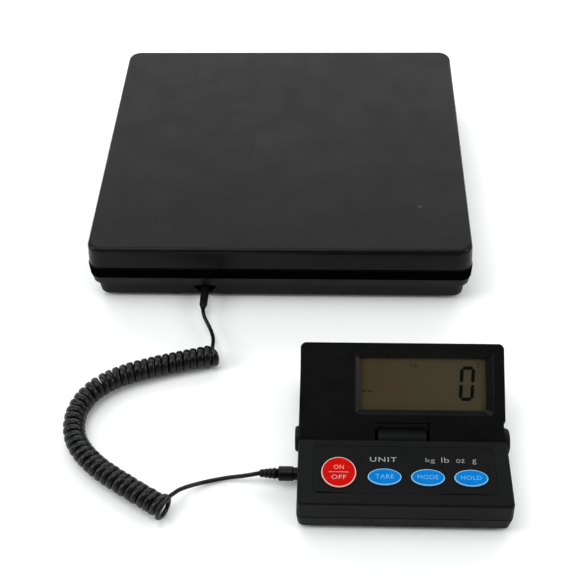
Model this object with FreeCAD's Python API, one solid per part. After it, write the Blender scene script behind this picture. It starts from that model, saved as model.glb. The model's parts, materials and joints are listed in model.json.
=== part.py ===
import FreeCAD, Part
import math
import os

# A platform shipping scale: a low platform with a tray on a load cell, and a small display unit
# with a tilting head, joined by a curly cord.  Millimetres, +Z up, front towards -Y.

os.makedirs("parts", exist_ok=True)
Vec = FreeCAD.Vector
X_AXIS = Vec(1, 0, 0)
Y_AXIS = Vec(0, 1, 0)
Z_AXIS = Vec(0, 0, 1)

# ---- where the two housings stand ----
PLATFORM_X = -5.5
PLATFORM_Y = 77.0
DISPLAY_X = 62.5
DISPLAY_FRONT_Y = -174.5

# ---- platform ----
TRAY_WIDTH = 225.0
TRAY_DEPTH = 195.0
TRAY_TOP = 43.1
TRAY_BOTTOM = 29.0
TRAY_FLARE = 1.2
TRAY_RADIUS = 8.0
TRAY_EDGE = 2.8
TRAY_WALL = 2.2
TRAY_PLATE = 2.5
RIB = 1.8
COLLAR_TOP = 27.9
COLLAR_BOTTOM = 20.4
LEDGE_TOP = 14.6
LEDGE_BOTTOM = 13.6
RIM_BOTTOM = 11.0
PAN_TOP = 12.4
PAN_BOTTOM = 2.0
PAN_FLOOR_TOP = 4.2
RIM_WALL = 1.6
LAP_INSET = 3.3
LAP_WALL = 1.4
COLLAR_WALL = 3.0
FRAME_BOTTOM = 32.2
FRAME_TOP = 34.2
FRAME_SIZE = (170.0, 140.0)
CELL_SIZE = (130.0, 30.0, 22.0)
CELL_BOTTOM = 8.2
CELL_BOLT_X = (43.0, 57.0)
CELL_HOLE_RADIUS = 3.05
CELL_BOLT_RADIUS = 3.0
CELL_BOLT_HEAD = 5.4
LOWER_BOLT_TIP = 20.0
PLATE_TOP = 6.2
STOP_SPOTS = [(x, y) for x in (-95.0, 95.0) for y in (-80.0, 80.0)]
FOOT_SPOTS = [(x, y) for x in (-92.0, 92.0) for y in (-78.0, 78.0)]
# outside of the base as (inset from the tray's side, corner radius, height)
PAN_PROFILE = [
    (2.9, 5.0, PAN_BOTTOM),
    (2.0, 5.6, PAN_BOTTOM + 1.4),
    (1.6, 5.8, RIM_BOTTOM - 0.1),
]
RIM_PROFILE = [
    (1.5, 5.8, RIM_BOTTOM),
    (1.3, 5.8, LEDGE_BOTTOM),
    (-0.5, 6.2, LEDGE_TOP),
    (-1.2, 6.6, COLLAR_BOTTOM + 0.1),
]
COLLAR_PROFILE = [
    (-1.3, 6.6, COLLAR_BOTTOM),
    (-1.4, 7.0, COLLAR_TOP),
]
BASE_SCREW_RADIUS = 1.6
BASE_SCREW_HEAD = 3.2
BASE_SCREW_POCKET = 3.3
BASE_SCREW_TIP = 19.0
BASE_SCREW_BORE_TOP = 20.0
SCREW_POST_RADIUS = 4.0
RIM_POST_TOP = 22.0
RIM_WEB_REACH = 9.4
RIM_WEB_HALF = 1.5
STOP_POST_RADIUS = 5.5
STOP_POST_TOP = 20.0
STOP_BORE_BOTTOM = 8.0
STOP_SHANK_BOTTOM = 9.0
STOP_HEAD_RADIUS = 5.0
STOP_HEAD_HEIGHT = 4.0
STOP_SOCKET_RADIUS = 2.6
STOP_SHANK_RADIUS = 3.0
FOOT_RADIUS = 9.0
FOOT_HOLLOW_RADIUS = 5.0
FOOT_HOLLOW_HEIGHT = 0.6
RIM_SCREW_SPOTS = [(x, y) for x in (-102.5, 102.5) for y in (-45.0, 0.0, 45.0)]
FRAME_SCREW_SPOTS = [(x, y) for x in (-78.0, 0.0, 78.0) for y in (-63.0, 63.0)]

# ---- cord ----
WIRE_RADIUS = 1.2
COIL_RADIUS = 6.3
BOOT_X = -51.0
BOOT_Z = 8.0
BOOT_END_Y = -34.9
BOOT_BACK_Y = PLATFORM_Y - TRAY_DEPTH / 2 + 15.0
BOOT_TIP_LENGTH = 3.0
BOOT_TIP_RADIUS = 1.3
BOOT_SLEEVE_RADII = (2.3, 2.75)
BOOT_NECK_RADIUS = 2.8
BOOT_FLANGE_RADIUS = 3.7
RECESS_HALF = 6.6
RECESS_FOOT_HALF = 3.4
RECESS_SHOULDER = 9.2
RECESS_BOTTOM = 4.9
RECESS_DEPTH = 9.5
RECESS_WALL = 3.0
RECESS_SIDE = 2.2
PLUG_Y = -146.7
PLUG_Z = 7.2
RELIEF_LENGTH = 9.9
PLUG_BARREL_LENGTH = 7.9
NOSE_LENGTH = 2.7
NOSE_RADIUS = 3.3
PLUG_RADIUS = 3.85
RELIEF_RADII = (1.8, 2.5)
RELIEF_RIB_RADIUS = 2.1
RELIEF_RIB_GROWTH = 0.24
RELIEF_RIB_PITCH = 2.1
RELIEF_RIB_WIDTH = 1.1
PIN_TIP_NECK = 1.3
LEAD_BASE_ROUTE = [
    (BOOT_X, BOOT_END_Y, BOOT_Z),
    (-50.4, -39.9, 7.8),
    (-46.3, -47.0, 6.2),
    (-43.6, -53.8, 6.2),
    (-42.4, -61.0, 9.0),
    (-42.6, -68.6, 11.3),
]
COIL_ROUTE = [
    (-41.2, -68.2, COIL_RADIUS),
    (-71.0, -75.4, COIL_RADIUS),
    (-101.3, -86.8, COIL_RADIUS),
    (-115.0, -104.5, COIL_RADIUS),
    (-114.2, -125.6, COIL_RADIUS),
    (-101.0, -141.9, COIL_RADIUS),
    (-79.4, -156.0, COIL_RADIUS),
    (-58.6, -168.3, COIL_RADIUS),
]
LEAD_DISPLAY_ROUTE = [
    (-56.3, -164.3, 12.3),
    (-54.5, -160.7, 9.6),
    (-52.0, -156.6, 6.8),
    (-46.6, -152.3, 3.6),
    (-38.0, -148.3, 1.3),
    (-28.0, -146.5, 2.2),
    (-18.8, -147.6, 5.8),
    (-11.4, PLUG_Y, PLUG_Z),
]
INNER_LEAD_ROUTE = [
    (BOOT_X, BOOT_BACK_Y, BOOT_Z),
    (BOOT_X, 12.0, BOOT_Z),
    (-45.0, 28.0, BOOT_Z + 0.5),
    (-33.0, 42.0, BOOT_Z + 3.0),
    (-27.0, 53.0, BOOT_Z + 6.0),
    (-27.0, PLATFORM_Y - CELL_SIZE[1] / 2, BOOT_Z + 6.0),
]

# ---- display unit, in its own frame: x from the middle, y from the front edge ----
UNIT_WIDTH = 108.0
UNIT_DEPTH = 94.0
UNIT_RADIUS = 2.2
UNIT_BOTTOM = 1.0
UNIT_FLOOR_TOP = 2.8
PARTING = 12.0
PANEL_TOP = 24.0
PANEL_DEPTH = 38.0
PANEL_EDGE = 1.3
PANEL_PLATE = 2.0
DECK_TOP = 15.4
DECK_PLATE = 1.8
SIDE_WALL = 1.5
INNER_HALF = UNIT_WIDTH / 2 - SIDE_WALL
HINGE_Y = 43.0
HINGE_Z = 17.0
BARREL_RADIUS = 7.0
SEAT_RADIUS = 7.45
SEAT_OUTER = 9.0
KNUCKLE_RADIUS = 6.8
KNUCKLE_HALF = 12.4
NOTCH_HALF = 14.1
PIN_RADIUS = 2.5
PIN_LENGTH = 10.0
LABEL = (-46.0, 46.0, 7.0, 34.5)
LABEL_DEPTH = 0.5
BUTTON_GAP = 0.55
BUTTON_TOP = 24.8
BUTTON_BOTTOM = 17.4
BUTTONS = {
    "power": (-32.8, 18.7, 8.8, 8.8),
    "tare": (-9.9, 16.3, 8.45, 4.8),
    "mode": (11.7, 16.3, 8.45, 4.8),
    "hold": (33.2, 16.3, 8.45, 4.8),
}
BOARD = (-46.0, 46.0, 4.5, 34.0)
BOARD_BOTTOM = 10.6
BOARD_POST_SPOTS = [(-34.0, 8.0), (0.0, 8.0), (34.0, 8.0), (-34.0, 31.0), (34.0, 31.0)]
BOARD_TOP = 12.2
MAT_TOP = 13.2
CELL_RADIUS = 5.25
CELL_LENGTH = 44.5
BAY_HALF = 46.8
BAY_FRONT = 61.0
BAY_REAR = 85.0
BAY_WALL = 1.2
BAY_ROWS = (67.4, 78.6)
DOOR_HALF = 44.0
DOOR_FRONT = 61.0
DOOR_REAR = 92.2
DOOR_TOP = 2.6
TONGUE_HALF = 45.4
TONGUE_BOTTOM = 1.9
JACK_BORE = 1.8
UNIT_FOOT_SPOTS = [(-44.0, 10.0, 4.0), (44.0, 10.0, 4.0), (-48.5, 88.0, 2.8), (48.5, 88.0, 2.8)]
UNIT_SCREW_SPOTS = [(-48.6, 6.0), (48.6, 6.0), (-49.6, 56.2), (49.6, 56.2)]

# ---- display head, drawn lying flat, then turned up about the hinge ----
HEAD_TILT = 32.6
HEAD_REAR = 93.2
HEAD_HALF = 53.0
HEAD_ROOT_HALF = 52.2
HEAD_ROOT_END = 51.5
HEAD_BACK = 15.8
HEAD_PARTING = 18.0
HEAD_BACK_PLATE = 1.6
HEAD_FACE_PLATE = 1.8
HEAD_RADIUS = 3.0
NOTCH_END = 51.9
WINDOW = (-21.8, 43.4, 58.5, 85.8)
LIP = (-24.2, 46.8, 56.2, 88.0)
LIP_DEPTH = 1.2
HEAD_SCREW_SPOTS = [(-49.6, 57.0), (49.9, 57.0), (-49.6, 88.4), (49.9, 88.4)]


def export(name, shape):
    shape.exportStep("parts/" + name + ".step")
    print(name, round(shape.Volume, 1), len(shape.Solids), shape.isValid())


def box(x0, x1, y0, y1, z0, z1):
    return Part.makeBox(x1 - x0, y1 - y0, z1 - z0, Vec(x0, y0, z0))


def post(x, y, z0, z1, radius):
    return Part.makeCylinder(radius, z1 - z0, Vec(x, y, z0))


def rod_x(x0, x1, y, z, radius):
    return Part.makeCylinder(radius, x1 - x0, Vec(x0, y, z), X_AXIS)


def rod_y(x, y0, y1, z, radius):
    return Part.makeCylinder(radius, y1 - y0, Vec(x, y0, z), Y_AXIS)


def outline(x0, x1, y0, y1, radius, z):
    """A closed wire: a rectangle with rounded corners, at height z."""
    corners = [
        (x1 - radius, y0 + radius, -90),
        (x1 - radius, y1 - radius, 0),
        (x0 + radius, y1 - radius, 90),
        (x0 + radius, y0 + radius, 180),
    ]
    edges = []
    last = None
    for cx, cy, start in corners:
        ends = []
        for turn in (0, 45, 90):
            angle = math.radians(start + turn)
            ends.append(Vec(cx + radius * math.cos(angle), cy + radius * math.sin(angle), z))
        if last is None:
            first = ends[0]
        else:
            edges.append(Part.LineSegment(last, ends[0]).toShape())
        edges.append(Part.Arc(ends[0], ends[1], ends[2]).toShape())
        last = ends[2]
    edges.append(Part.LineSegment(last, first).toShape())
    return Part.Wire(edges)


def slab(x0, x1, y0, y1, z0, z1, radius):
    face = Part.Face(outline(x0, x1, y0, y1, radius, z0))
    return face.extrude(Vec(0, 0, z1 - z0))


def tapered(sections):
    """A solid through rounded rectangles: each section is (x0, x1, y0, y1, radius, z)."""
    return Part.makeLoft([outline(*section) for section in sections], True, True)


def centred(width, depth, inset, radius, z):
    half_x = width / 2 - inset
    half_y = depth / 2 - inset
    return (-half_x, half_x, -half_y, half_y, radius, z)


def joined(first, *others):
    return first.fuse(list(others)).removeSplitter()


def cut(shape, *tools):
    return shape.cut(list(tools))


def round_edges_at(shape, z, radius):
    """Rounds the edges that lie wholly at height z."""
    edges = [e for e in shape.Edges if abs(e.BoundBox.ZMin - z) < 1e-6 and abs(e.BoundBox.ZMax - z) < 1e-6]
    return shape.makeFillet(radius, edges)


def ellipse_post(x, y, half_x, half_y, z0, z1):
    if abs(half_x - half_y) < 1e-9:
        return post(x, y, z0, z1, half_x)
    curve = Part.Ellipse(Vec(x, y, z0), half_x, half_y)
    face = Part.Face(Part.Wire([curve.toShape()]))
    return face.extrude(Vec(0, 0, z1 - z0))


def group(shapes):
    return Part.makeCompound(shapes)


def on_platform(shape):
    moved = shape.copy()
    moved.translate(Vec(PLATFORM_X, PLATFORM_Y, 0))
    return moved


def on_unit(shape):
    moved = shape.copy()
    moved.translate(Vec(DISPLAY_X, DISPLAY_FRONT_Y, 0))
    return moved


def on_head(shape):
    moved = shape.copy()
    moved.rotate(Vec(0, HINGE_Y, HINGE_Z), X_AXIS, HEAD_TILT)
    return on_unit(moved)


def cord_tube(name, points, radius):
    """A round tube along straight runs joined by tangent arcs, as large as the runs allow."""
    corners = [Vec(*p) for p in points]
    edges = []
    start = corners[0]
    length = 0.0
    for before, here, after in zip(corners, corners[1:], corners[2:]):
        back = before - here
        onward = after - here
        shorter = min(back.Length, onward.Length)
        turn = math.pi - back.getAngle(onward)
        trim = 0.45 * shorter
        bend = trim / math.tan(turn / 2)
        back.normalize()
        onward.normalize()
        middle = back + onward
        middle.normalize()
        arc_start = here + back * trim
        arc_end = here + onward * trim
        arc_middle = here + middle * (bend / math.cos(turn / 2) - bend)
        edges.append(Part.LineSegment(start, arc_start).toShape())
        edges.append(Part.Arc(arc_start, arc_middle, arc_end).toShape())
        length += (arc_start - start).Length + bend * turn
        start = arc_end
        print("  bend of", name, round(bend, 1), "mm, turn", round(math.degrees(turn), 1))
    edges.append(Part.LineSegment(start, corners[-1]).toShape())
    length += (corners[-1] - start).Length
    path = Part.Wire(edges)
    heading = corners[1] - corners[0]
    ring = Part.Wire([Part.Circle(corners[0], heading, radius).toShape()])
    tube = path.makePipeShell([ring], True, False)
    expected = math.pi * radius * radius * length
    print("  length of", name, round(length, 1), "volume ratio", round(tube.Volume / expected, 4))
    return tube


def flat_head_screw(x, y, head_z, neck_z, tip_z, head_radius, shank_radius):
    """A countersunk screw driven upwards from below."""
    head = Part.makeCone(head_radius, shank_radius, neck_z - head_z, Vec(x, y, head_z))
    return joined(head, post(x, y, neck_z, tip_z, shank_radius))


# ================= platform =================

def weighing_tray():
    outer = tapered([
        centred(TRAY_WIDTH, TRAY_DEPTH, -TRAY_FLARE, TRAY_RADIUS, TRAY_BOTTOM),
        centred(TRAY_WIDTH, TRAY_DEPTH, 0, TRAY_RADIUS, TRAY_TOP),
    ])
    outer = round_edges_at(outer, TRAY_TOP, TRAY_EDGE)
    plate_bottom = TRAY_TOP - TRAY_PLATE
    inner_radius = TRAY_RADIUS - TRAY_WALL
    inside = centred(TRAY_WIDTH, TRAY_DEPTH, TRAY_WALL, 0, 0)[:4]
    pocket = slab(*inside, TRAY_BOTTOM - 1, plate_bottom, inner_radius)
    shell = cut(outer, pocket)
    reach_x = TRAY_WIDTH / 2 - TRAY_WALL / 2
    reach_y = TRAY_DEPTH / 2 - TRAY_WALL / 2
    stiffeners = []
    for x in (-70.0, -30.0, 30.0, 70.0):
        stiffeners.append(box(x - RIB / 2, x + RIB / 2, -reach_y, reach_y, FRAME_TOP, plate_bottom + 0.5))
    for y in (-60.0, -25.0, 25.0, 60.0):
        stiffeners.append(box(-reach_x, reach_x, y - RIB / 2, y + RIB / 2, FRAME_TOP, plate_bottom + 0.5))
    for x, y in FRAME_SCREW_SPOTS:
        stiffeners.append(post(x, y, FRAME_TOP, plate_bottom + 0.5, 4.0))
    for x, y in STOP_SPOTS:
        stiffeners.append(post(x, y, TRAY_BOTTOM, plate_bottom + 0.5, 5.5))
    shell = joined(shell, *stiffeners)
    pilots = [post(x, y, FRAME_TOP - 1, plate_bottom - 1.5, 1.6) for x, y in FRAME_SCREW_SPOTS]
    return cut(shell, *pilots)


def tray_support_frame():
    half_x = FRAME_SIZE[0] / 2
    half_y = FRAME_SIZE[1] / 2
    plate = slab(-half_x, half_x, -half_y, half_y, FRAME_BOTTOM, FRAME_TOP, 8.0)
    windows = []
    for side in (-1, 1):
        for x0, x1 in ((-62.0, -14.0), (14.0, 62.0)):
            near, far = sorted((side * 22.0, side * 54.0))
            windows.append(slab(x0, x1, near, far, FRAME_BOTTOM - 1, FRAME_TOP + 1, 6.0))
    holes = [post(x, y, FRAME_BOTTOM - 1, FRAME_TOP + 1, 1.6) for x, y in FRAME_SCREW_SPOTS]
    holes += [post(x, 0, FRAME_BOTTOM - 1, FRAME_TOP + 1, 3.0) for x in CELL_BOLT_X]
    return cut(plate, *windows, *holes)


def tray_screws():
    screws = []
    for x, y in FRAME_SCREW_SPOTS:
        head = post(x, y, FRAME_BOTTOM - 1.6, FRAME_BOTTOM, 3.3)
        screws.append(joined(head, post(x, y, FRAME_BOTTOM, TRAY_TOP - TRAY_PLATE - 1.5, 1.6)))
    return group(screws)


def load_cell():
    length, width, height = CELL_SIZE
    top = CELL_BOTTOM + height
    middle = CELL_BOTTOM + height / 2
    bar = box(-length / 2, length / 2, -width / 2, width / 2, CELL_BOTTOM, top)
    bores = [rod_y(x, -width, width, middle, 8.0) for x in (-13.0, 13.0)]
    slot = box(-13.0, 13.0, -width, width, middle - 2.5, middle + 2.5)
    holes = [post(-x, 0, CELL_BOTTOM - 1, CELL_BOTTOM + 14, 3.0) for x in CELL_BOLT_X]
    holes += [post(x, 0, top - 14, top + 1, CELL_HOLE_RADIUS) for x in CELL_BOLT_X]
    return cut(bar, *bores, slot, *holes)


def gauge_covers():
    top = CELL_BOTTOM + CELL_SIZE[2]
    upper = slab(-20.0, 20.0, -8.0, 8.0, top, top + 0.7, 3.0)
    lower = slab(-20.0, 20.0, -8.0, 8.0, CELL_BOTTOM - 0.7, CELL_BOTTOM, 3.0)
    return group([upper, lower])


def cell_spacer(side, z0, z1):
    end = side * CELL_SIZE[0] / 2
    inner = side * 35.0
    half = CELL_SIZE[1] / 2
    block = box(min(end, inner), max(end, inner), -half, half, z0, z1)
    return cut(block, *[post(side * x, 0, z0 - 1, z1 + 1, 3.0) for x in CELL_BOLT_X])


def upper_cell_bolts():
    bolts = []
    for x in CELL_BOLT_X:
        head = post(x, 0, FRAME_TOP, FRAME_TOP + 3.5, 5.0)
        socket = post(x, 0, FRAME_TOP + 1.5, FRAME_TOP + 4, 2.5)
        bolts.append(joined(cut(head, socket), post(x, 0, FRAME_TOP - 16, FRAME_TOP, 3.0)))
    return group(bolts)


def lower_cell_bolt(x):
    heights = (PAN_BOTTOM, PAN_FLOOR_TOP, LOWER_BOLT_TIP)
    return flat_head_screw(x, 0, *heights, CELL_BOLT_HEAD, CELL_BOLT_RADIUS)


def lower_cell_bolts():
    return group([lower_cell_bolt(-x) for x in CELL_BOLT_X])


def base_plate():
    plate = slab(-95.0, 95.0, -55.0, 55.0, PAN_FLOOR_TOP, PLATE_TOP, 8.0)
    windows = [slab(x, x + 40.0, -42.0, 42.0, 0, 10, 8.0) for x in (-12.0, 42.0)]
    return cut(plate, *windows, *[post(-x, 0, 0, 10, CELL_BOLT_RADIUS) for x in CELL_BOLT_X])


def base_outline(inset, radius, z):
    return centred(TRAY_WIDTH, TRAY_DEPTH, inset, radius, z)


def ring_between(sections, wall):
    """A hollow ring: sections are (inset, radius, z) of its outside, wall is its thickness."""
    outer = tapered([base_outline(*section) for section in sections])
    inside = []
    for number, (inset, radius, z) in enumerate(sections):
        past = {0: -0.01, len(sections) - 1: 0.01}.get(number, 0.0)
        inside.append(base_outline(inset + wall, radius - wall, z + past))
    return cut(outer, tapered(inside))


def base_rim():
    """The upper ring of the base: a straight foot, a ledge, a slanted wall, the dark collar on top."""
    wall = ring_between(RIM_PROFILE, RIM_WALL)
    collar = ring_between(COLLAR_PROFILE, COLLAR_WALL)
    ring = joined(wall, collar)
    lip_outer = slab(*base_outline(1.4, 0, 0)[:4], COLLAR_TOP - 2.0, COLLAR_TOP, 4.2)
    lip_inner = slab(*base_outline(9.0, 0, 0)[:4], COLLAR_TOP - 3.0, COLLAR_TOP + 1, 4.0)
    pieces = [cut(lip_outer, lip_inner)]
    pilots = []
    for x, y in RIM_SCREW_SPOTS:
        side = math.copysign(1.0, x)
        far = x + side * RIM_WEB_REACH
        pieces.append(post(x, y, PAN_TOP, RIM_POST_TOP, SCREW_POST_RADIUS))
        web = box(min(x, far), max(x, far), y - RIM_WEB_HALF, y + RIM_WEB_HALF, PAN_TOP + 4.0, RIM_POST_TOP)
        pieces.append(web)
        pilots.append(post(x, y, PAN_TOP - 1, BASE_SCREW_BORE_TOP, BASE_SCREW_RADIUS))
    return cut(joined(ring, *pieces), *pilots)


def base_pan():
    """The lower pan: floor, wall, posts, and a walled recess at the front for the cord."""
    outer = tapered([base_outline(*section) for section in PAN_PROFILE])
    lap = slab(*base_outline(LAP_INSET, 0, 0)[:4], RIM_BOTTOM - 0.2, PAN_TOP, 4.0)
    inner = slab(*base_outline(LAP_INSET + LAP_WALL, 0, 0)[:4], PAN_FLOOR_TOP, PAN_TOP + 1, 3.0)
    pan = cut(joined(outer, lap), inner)
    boot_x = BOOT_X - PLATFORM_X
    front = -TRAY_DEPTH / 2
    block_half = RECESS_HALF + RECESS_SIDE
    wall_back = front + RECESS_DEPTH + RECESS_WALL
    block_sides = (boot_x - block_half, boot_x + block_half)
    pieces = [box(*block_sides, front + LAP_INSET, wall_back, PAN_BOTTOM + 0.2, PAN_TOP)]
    for x, y in STOP_SPOTS:
        pieces.append(post(x, y, PAN_FLOOR_TOP - 0.5, STOP_POST_TOP, STOP_POST_RADIUS))
    for x, y in RIM_SCREW_SPOTS:
        pieces.append(post(x, y, PAN_FLOOR_TOP - 0.5, PAN_TOP, SCREW_POST_RADIUS))
    pan = joined(pan, *pieces)
    corners = [
        (-RECESS_HALF, PAN_TOP + 1),
        (RECESS_HALF, PAN_TOP + 1),
        (RECESS_HALF, RECESS_SHOULDER),
        (RECESS_FOOT_HALF, RECESS_BOTTOM),
        (-RECESS_FOOT_HALF, RECESS_BOTTOM),
        (-RECESS_HALF, RECESS_SHOULDER),
    ]
    ring = [Vec(boot_x + x, front - 5, z) for x, z in corners]
    recess = Part.Face(Part.makePolygon(ring + ring[:1])).extrude(Vec(0, RECESS_DEPTH + 5, 0))
    tools = [recess]
    tools.append(rod_y(boot_x, front + 5, front + 20, BOOT_Z, BOOT_NECK_RADIUS))
    for x, y in STOP_SPOTS:
        tools.append(post(x, y, STOP_BORE_BOTTOM, STOP_POST_TOP + 1, STOP_SHANK_RADIUS))
    for x, y in RIM_SCREW_SPOTS:
        tools.append(post(x, y, 0, PAN_FLOOR_TOP - 0.2, BASE_SCREW_POCKET))
        tools.append(post(x, y, 0, PAN_TOP + 1, BASE_SCREW_RADIUS))
    for x, y in FOOT_SPOTS:
        tools.append(post(x, y, 0, PAN_BOTTOM + 1.2, FOOT_RADIUS))
    for x in CELL_BOLT_X:
        depth = PAN_FLOOR_TOP - PAN_BOTTOM
        tools.append(Part.makeCone(CELL_BOLT_HEAD, CELL_BOLT_RADIUS, depth, Vec(-x, 0, PAN_BOTTOM)))
        tools.append(post(-x, 0, 0, PAN_BOTTOM + 0.01, CELL_BOLT_HEAD))
    return cut(pan, *tools)


def base_screws():
    screws = []
    for x, y in RIM_SCREW_SPOTS:
        neck = PAN_FLOOR_TOP - 0.2
        head = post(x, y, PAN_BOTTOM + 0.3, neck, BASE_SCREW_HEAD)
        screws.append(joined(head, post(x, y, neck, BASE_SCREW_TIP, BASE_SCREW_RADIUS)))
    return group(screws)


def overload_stops():
    stops = []
    for x, y in STOP_SPOTS:
        neck = COLLAR_TOP - STOP_HEAD_HEIGHT
        head = post(x, y, neck, COLLAR_TOP, STOP_HEAD_RADIUS)
        socket = post(x, y, neck + STOP_HEAD_HEIGHT / 2, COLLAR_TOP + 1, STOP_SOCKET_RADIUS)
        shank = post(x, y, STOP_SHANK_BOTTOM, neck, STOP_SHANK_RADIUS)
        stops.append(joined(cut(head, socket), shank))
    return group(stops)


def platform_feet():
    feet = []
    for x, y in FOOT_SPOTS:
        foot = post(x, y, 0, PAN_BOTTOM + 1.2, FOOT_RADIUS)
        feet.append(cut(foot, post(x, y, -1, FOOT_HOLLOW_HEIGHT, FOOT_HOLLOW_RADIUS)))
    return group(feet)


# ================= cord and what is on it =================

def strain_relief_boot():
    """A flange behind the recess wall, a neck through it and a tapered sleeve in front."""
    front = PLATFORM_Y - TRAY_DEPTH / 2
    wall_front = front + RECESS_DEPTH
    wall_back = wall_front + RECESS_WALL
    narrow, wide = BOOT_SLEEVE_RADII
    flange = rod_y(BOOT_X, wall_back, BOOT_BACK_Y, BOOT_Z, BOOT_FLANGE_RADIUS)
    neck = rod_y(BOOT_X, wall_front, wall_back, BOOT_Z, BOOT_NECK_RADIUS)
    sleeve_start = BOOT_END_Y + BOOT_TIP_LENGTH
    sleeve = Part.makeCone(narrow, wide, wall_front - sleeve_start, Vec(BOOT_X, sleeve_start, BOOT_Z), Y_AXIS)
    tip = Part.makeCone(BOOT_TIP_RADIUS, narrow, BOOT_TIP_LENGTH, Vec(BOOT_X, BOOT_END_Y, BOOT_Z), Y_AXIS)
    return joined(flange, neck, sleeve, tip)


def plug_strain_relief():
    start = LEAD_DISPLAY_ROUTE[-1][0]
    thin, thick = RELIEF_RADII
    core = Part.makeCone(thin, thick, RELIEF_LENGTH, Vec(start, PLUG_Y, PLUG_Z), X_AXIS)
    ribs = []
    for number in range(4):
        rib_start = start + 0.9 + RELIEF_RIB_PITCH * number
        radius = RELIEF_RIB_RADIUS + RELIEF_RIB_GROWTH * number
        ribs.append(rod_x(rib_start, rib_start + RELIEF_RIB_WIDTH, PLUG_Y, PLUG_Z, radius))
    return joined(core, *ribs)


def plug_body():
    start = LEAD_DISPLAY_ROUTE[-1][0] + RELIEF_LENGTH
    shoulder = start + PLUG_BARREL_LENGTH
    barrel = rod_x(start, shoulder, PLUG_Y, PLUG_Z, PLUG_RADIUS)
    ends = [e for e in barrel.Edges if e.Curve.TypeId == "Part::GeomCircle"]
    barrel = barrel.makeFillet(0.7, ends)
    nose = rod_x(shoulder - 0.8, shoulder + NOSE_LENGTH, PLUG_Y, PLUG_Z, NOSE_RADIUS)
    return joined(barrel, nose)


def plug_pin():
    start = LEAD_DISPLAY_ROUTE[-1][0] + RELIEF_LENGTH + PLUG_BARREL_LENGTH + NOSE_LENGTH
    shaft = rod_x(start, start + 10.6, PLUG_Y, PLUG_Z, 1.75)
    neck = rod_x(start + 10.6, start + 11.3, PLUG_Y, PLUG_Z, PIN_TIP_NECK)
    tip = Part.makeCone(1.75, 0.7, 1.6, Vec(start + 11.3, PLUG_Y, PLUG_Z), X_AXIS)
    return joined(shaft, neck, tip)


def cable_clamp():
    body = box(BOOT_X - 7.0, BOOT_X + 7.0, -3.0, 3.0, PAN_FLOOR_TOP, 10.6)
    holes = [post(BOOT_X + dx, 0, 0, 12, 1.1) for dx in (-4.5, 4.5)]
    return cut(body, rod_y(BOOT_X, -5, 5, BOOT_Z, WIRE_RADIUS), *holes)


def cable_clamp_screws():
    screws = []
    for dx in (-4.5, 4.5):
        head = post(BOOT_X + dx, 0, 10.6, 12.0, 2.0)
        screws.append(joined(head, post(BOOT_X + dx, 0, PAN_FLOOR_TOP, 10.6, 1.1)))
    return group(screws)


# ================= display unit =================

def unit_outline(inset, radius, z):
    half = UNIT_WIDTH / 2 - inset
    return (-half, half, inset, UNIT_DEPTH - inset, radius, z)


def hinge_rod(x0, x1, radius):
    return rod_x(x0, x1, HINGE_Y, HINGE_Z, radius)


def unit_bottom_shell():
    outer = tapered([
        unit_outline(1.8, 3.6, UNIT_BOTTOM),
        unit_outline(0.5, 3.0, UNIT_BOTTOM + 2.0),
        unit_outline(0.0, UNIT_RADIUS, PARTING - 0.4),
        unit_outline(0.4, UNIT_RADIUS - 0.4, PARTING),
    ])
    pocket = slab(-INNER_HALF, INNER_HALF, 2.0, UNIT_DEPTH - 2.0, UNIT_FLOOR_TOP, PARTING + 1, 4.0)
    shell = cut(outer, pocket)
    bay_half = BAY_HALF + BAY_WALL
    bay_ends = (BAY_FRONT - BAY_WALL, BAY_REAR + BAY_WALL)
    bay_block = box(-bay_half, bay_half, *bay_ends, UNIT_FLOOR_TOP - 0.5, PARTING)
    pieces = [cut(bay_block, box(-BAY_HALF, BAY_HALF, BAY_FRONT, BAY_REAR, 0, PARTING + 1))]
    for x, y in UNIT_SCREW_SPOTS:
        pieces.append(post(x, y, UNIT_FLOOR_TOP - 0.5, PARTING, 2.6))
    for x, y in BOARD_POST_SPOTS:
        pieces.append(post(x, y, UNIT_FLOOR_TOP - 0.5, BOARD_BOTTOM, 2.2))
    shell = joined(shell, *pieces)
    tools = [
        box(-DOOR_HALF - 0.3, DOOR_HALF + 0.3, DOOR_FRONT - 0.3, UNIT_DEPTH + 1, 0, UNIT_FLOOR_TOP + 0.1),
        box(-TONGUE_HALF - 0.3, TONGUE_HALF + 0.3, DOOR_FRONT - 0.3, UNIT_DEPTH + 1,
            TONGUE_BOTTOM - 0.1, UNIT_FLOOR_TOP + 0.1),
        rod_x(-UNIT_WIDTH, -INNER_HALF + 0.5, PLUG_Y - DISPLAY_FRONT_Y, PLUG_Z, NOSE_RADIUS + 0.25),
    ]
    for x, y, radius in UNIT_FOOT_SPOTS:
        tools.append(post(x, y, 0, UNIT_BOTTOM + 0.6, radius))
    for x, y in UNIT_SCREW_SPOTS:
        tools.append(post(x, y, 0, UNIT_FLOOR_TOP - 0.2, 2.0))
        tools.append(post(x, y, 0, PARTING + 1, 1.1))
    return cut(shell, *tools)


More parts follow.
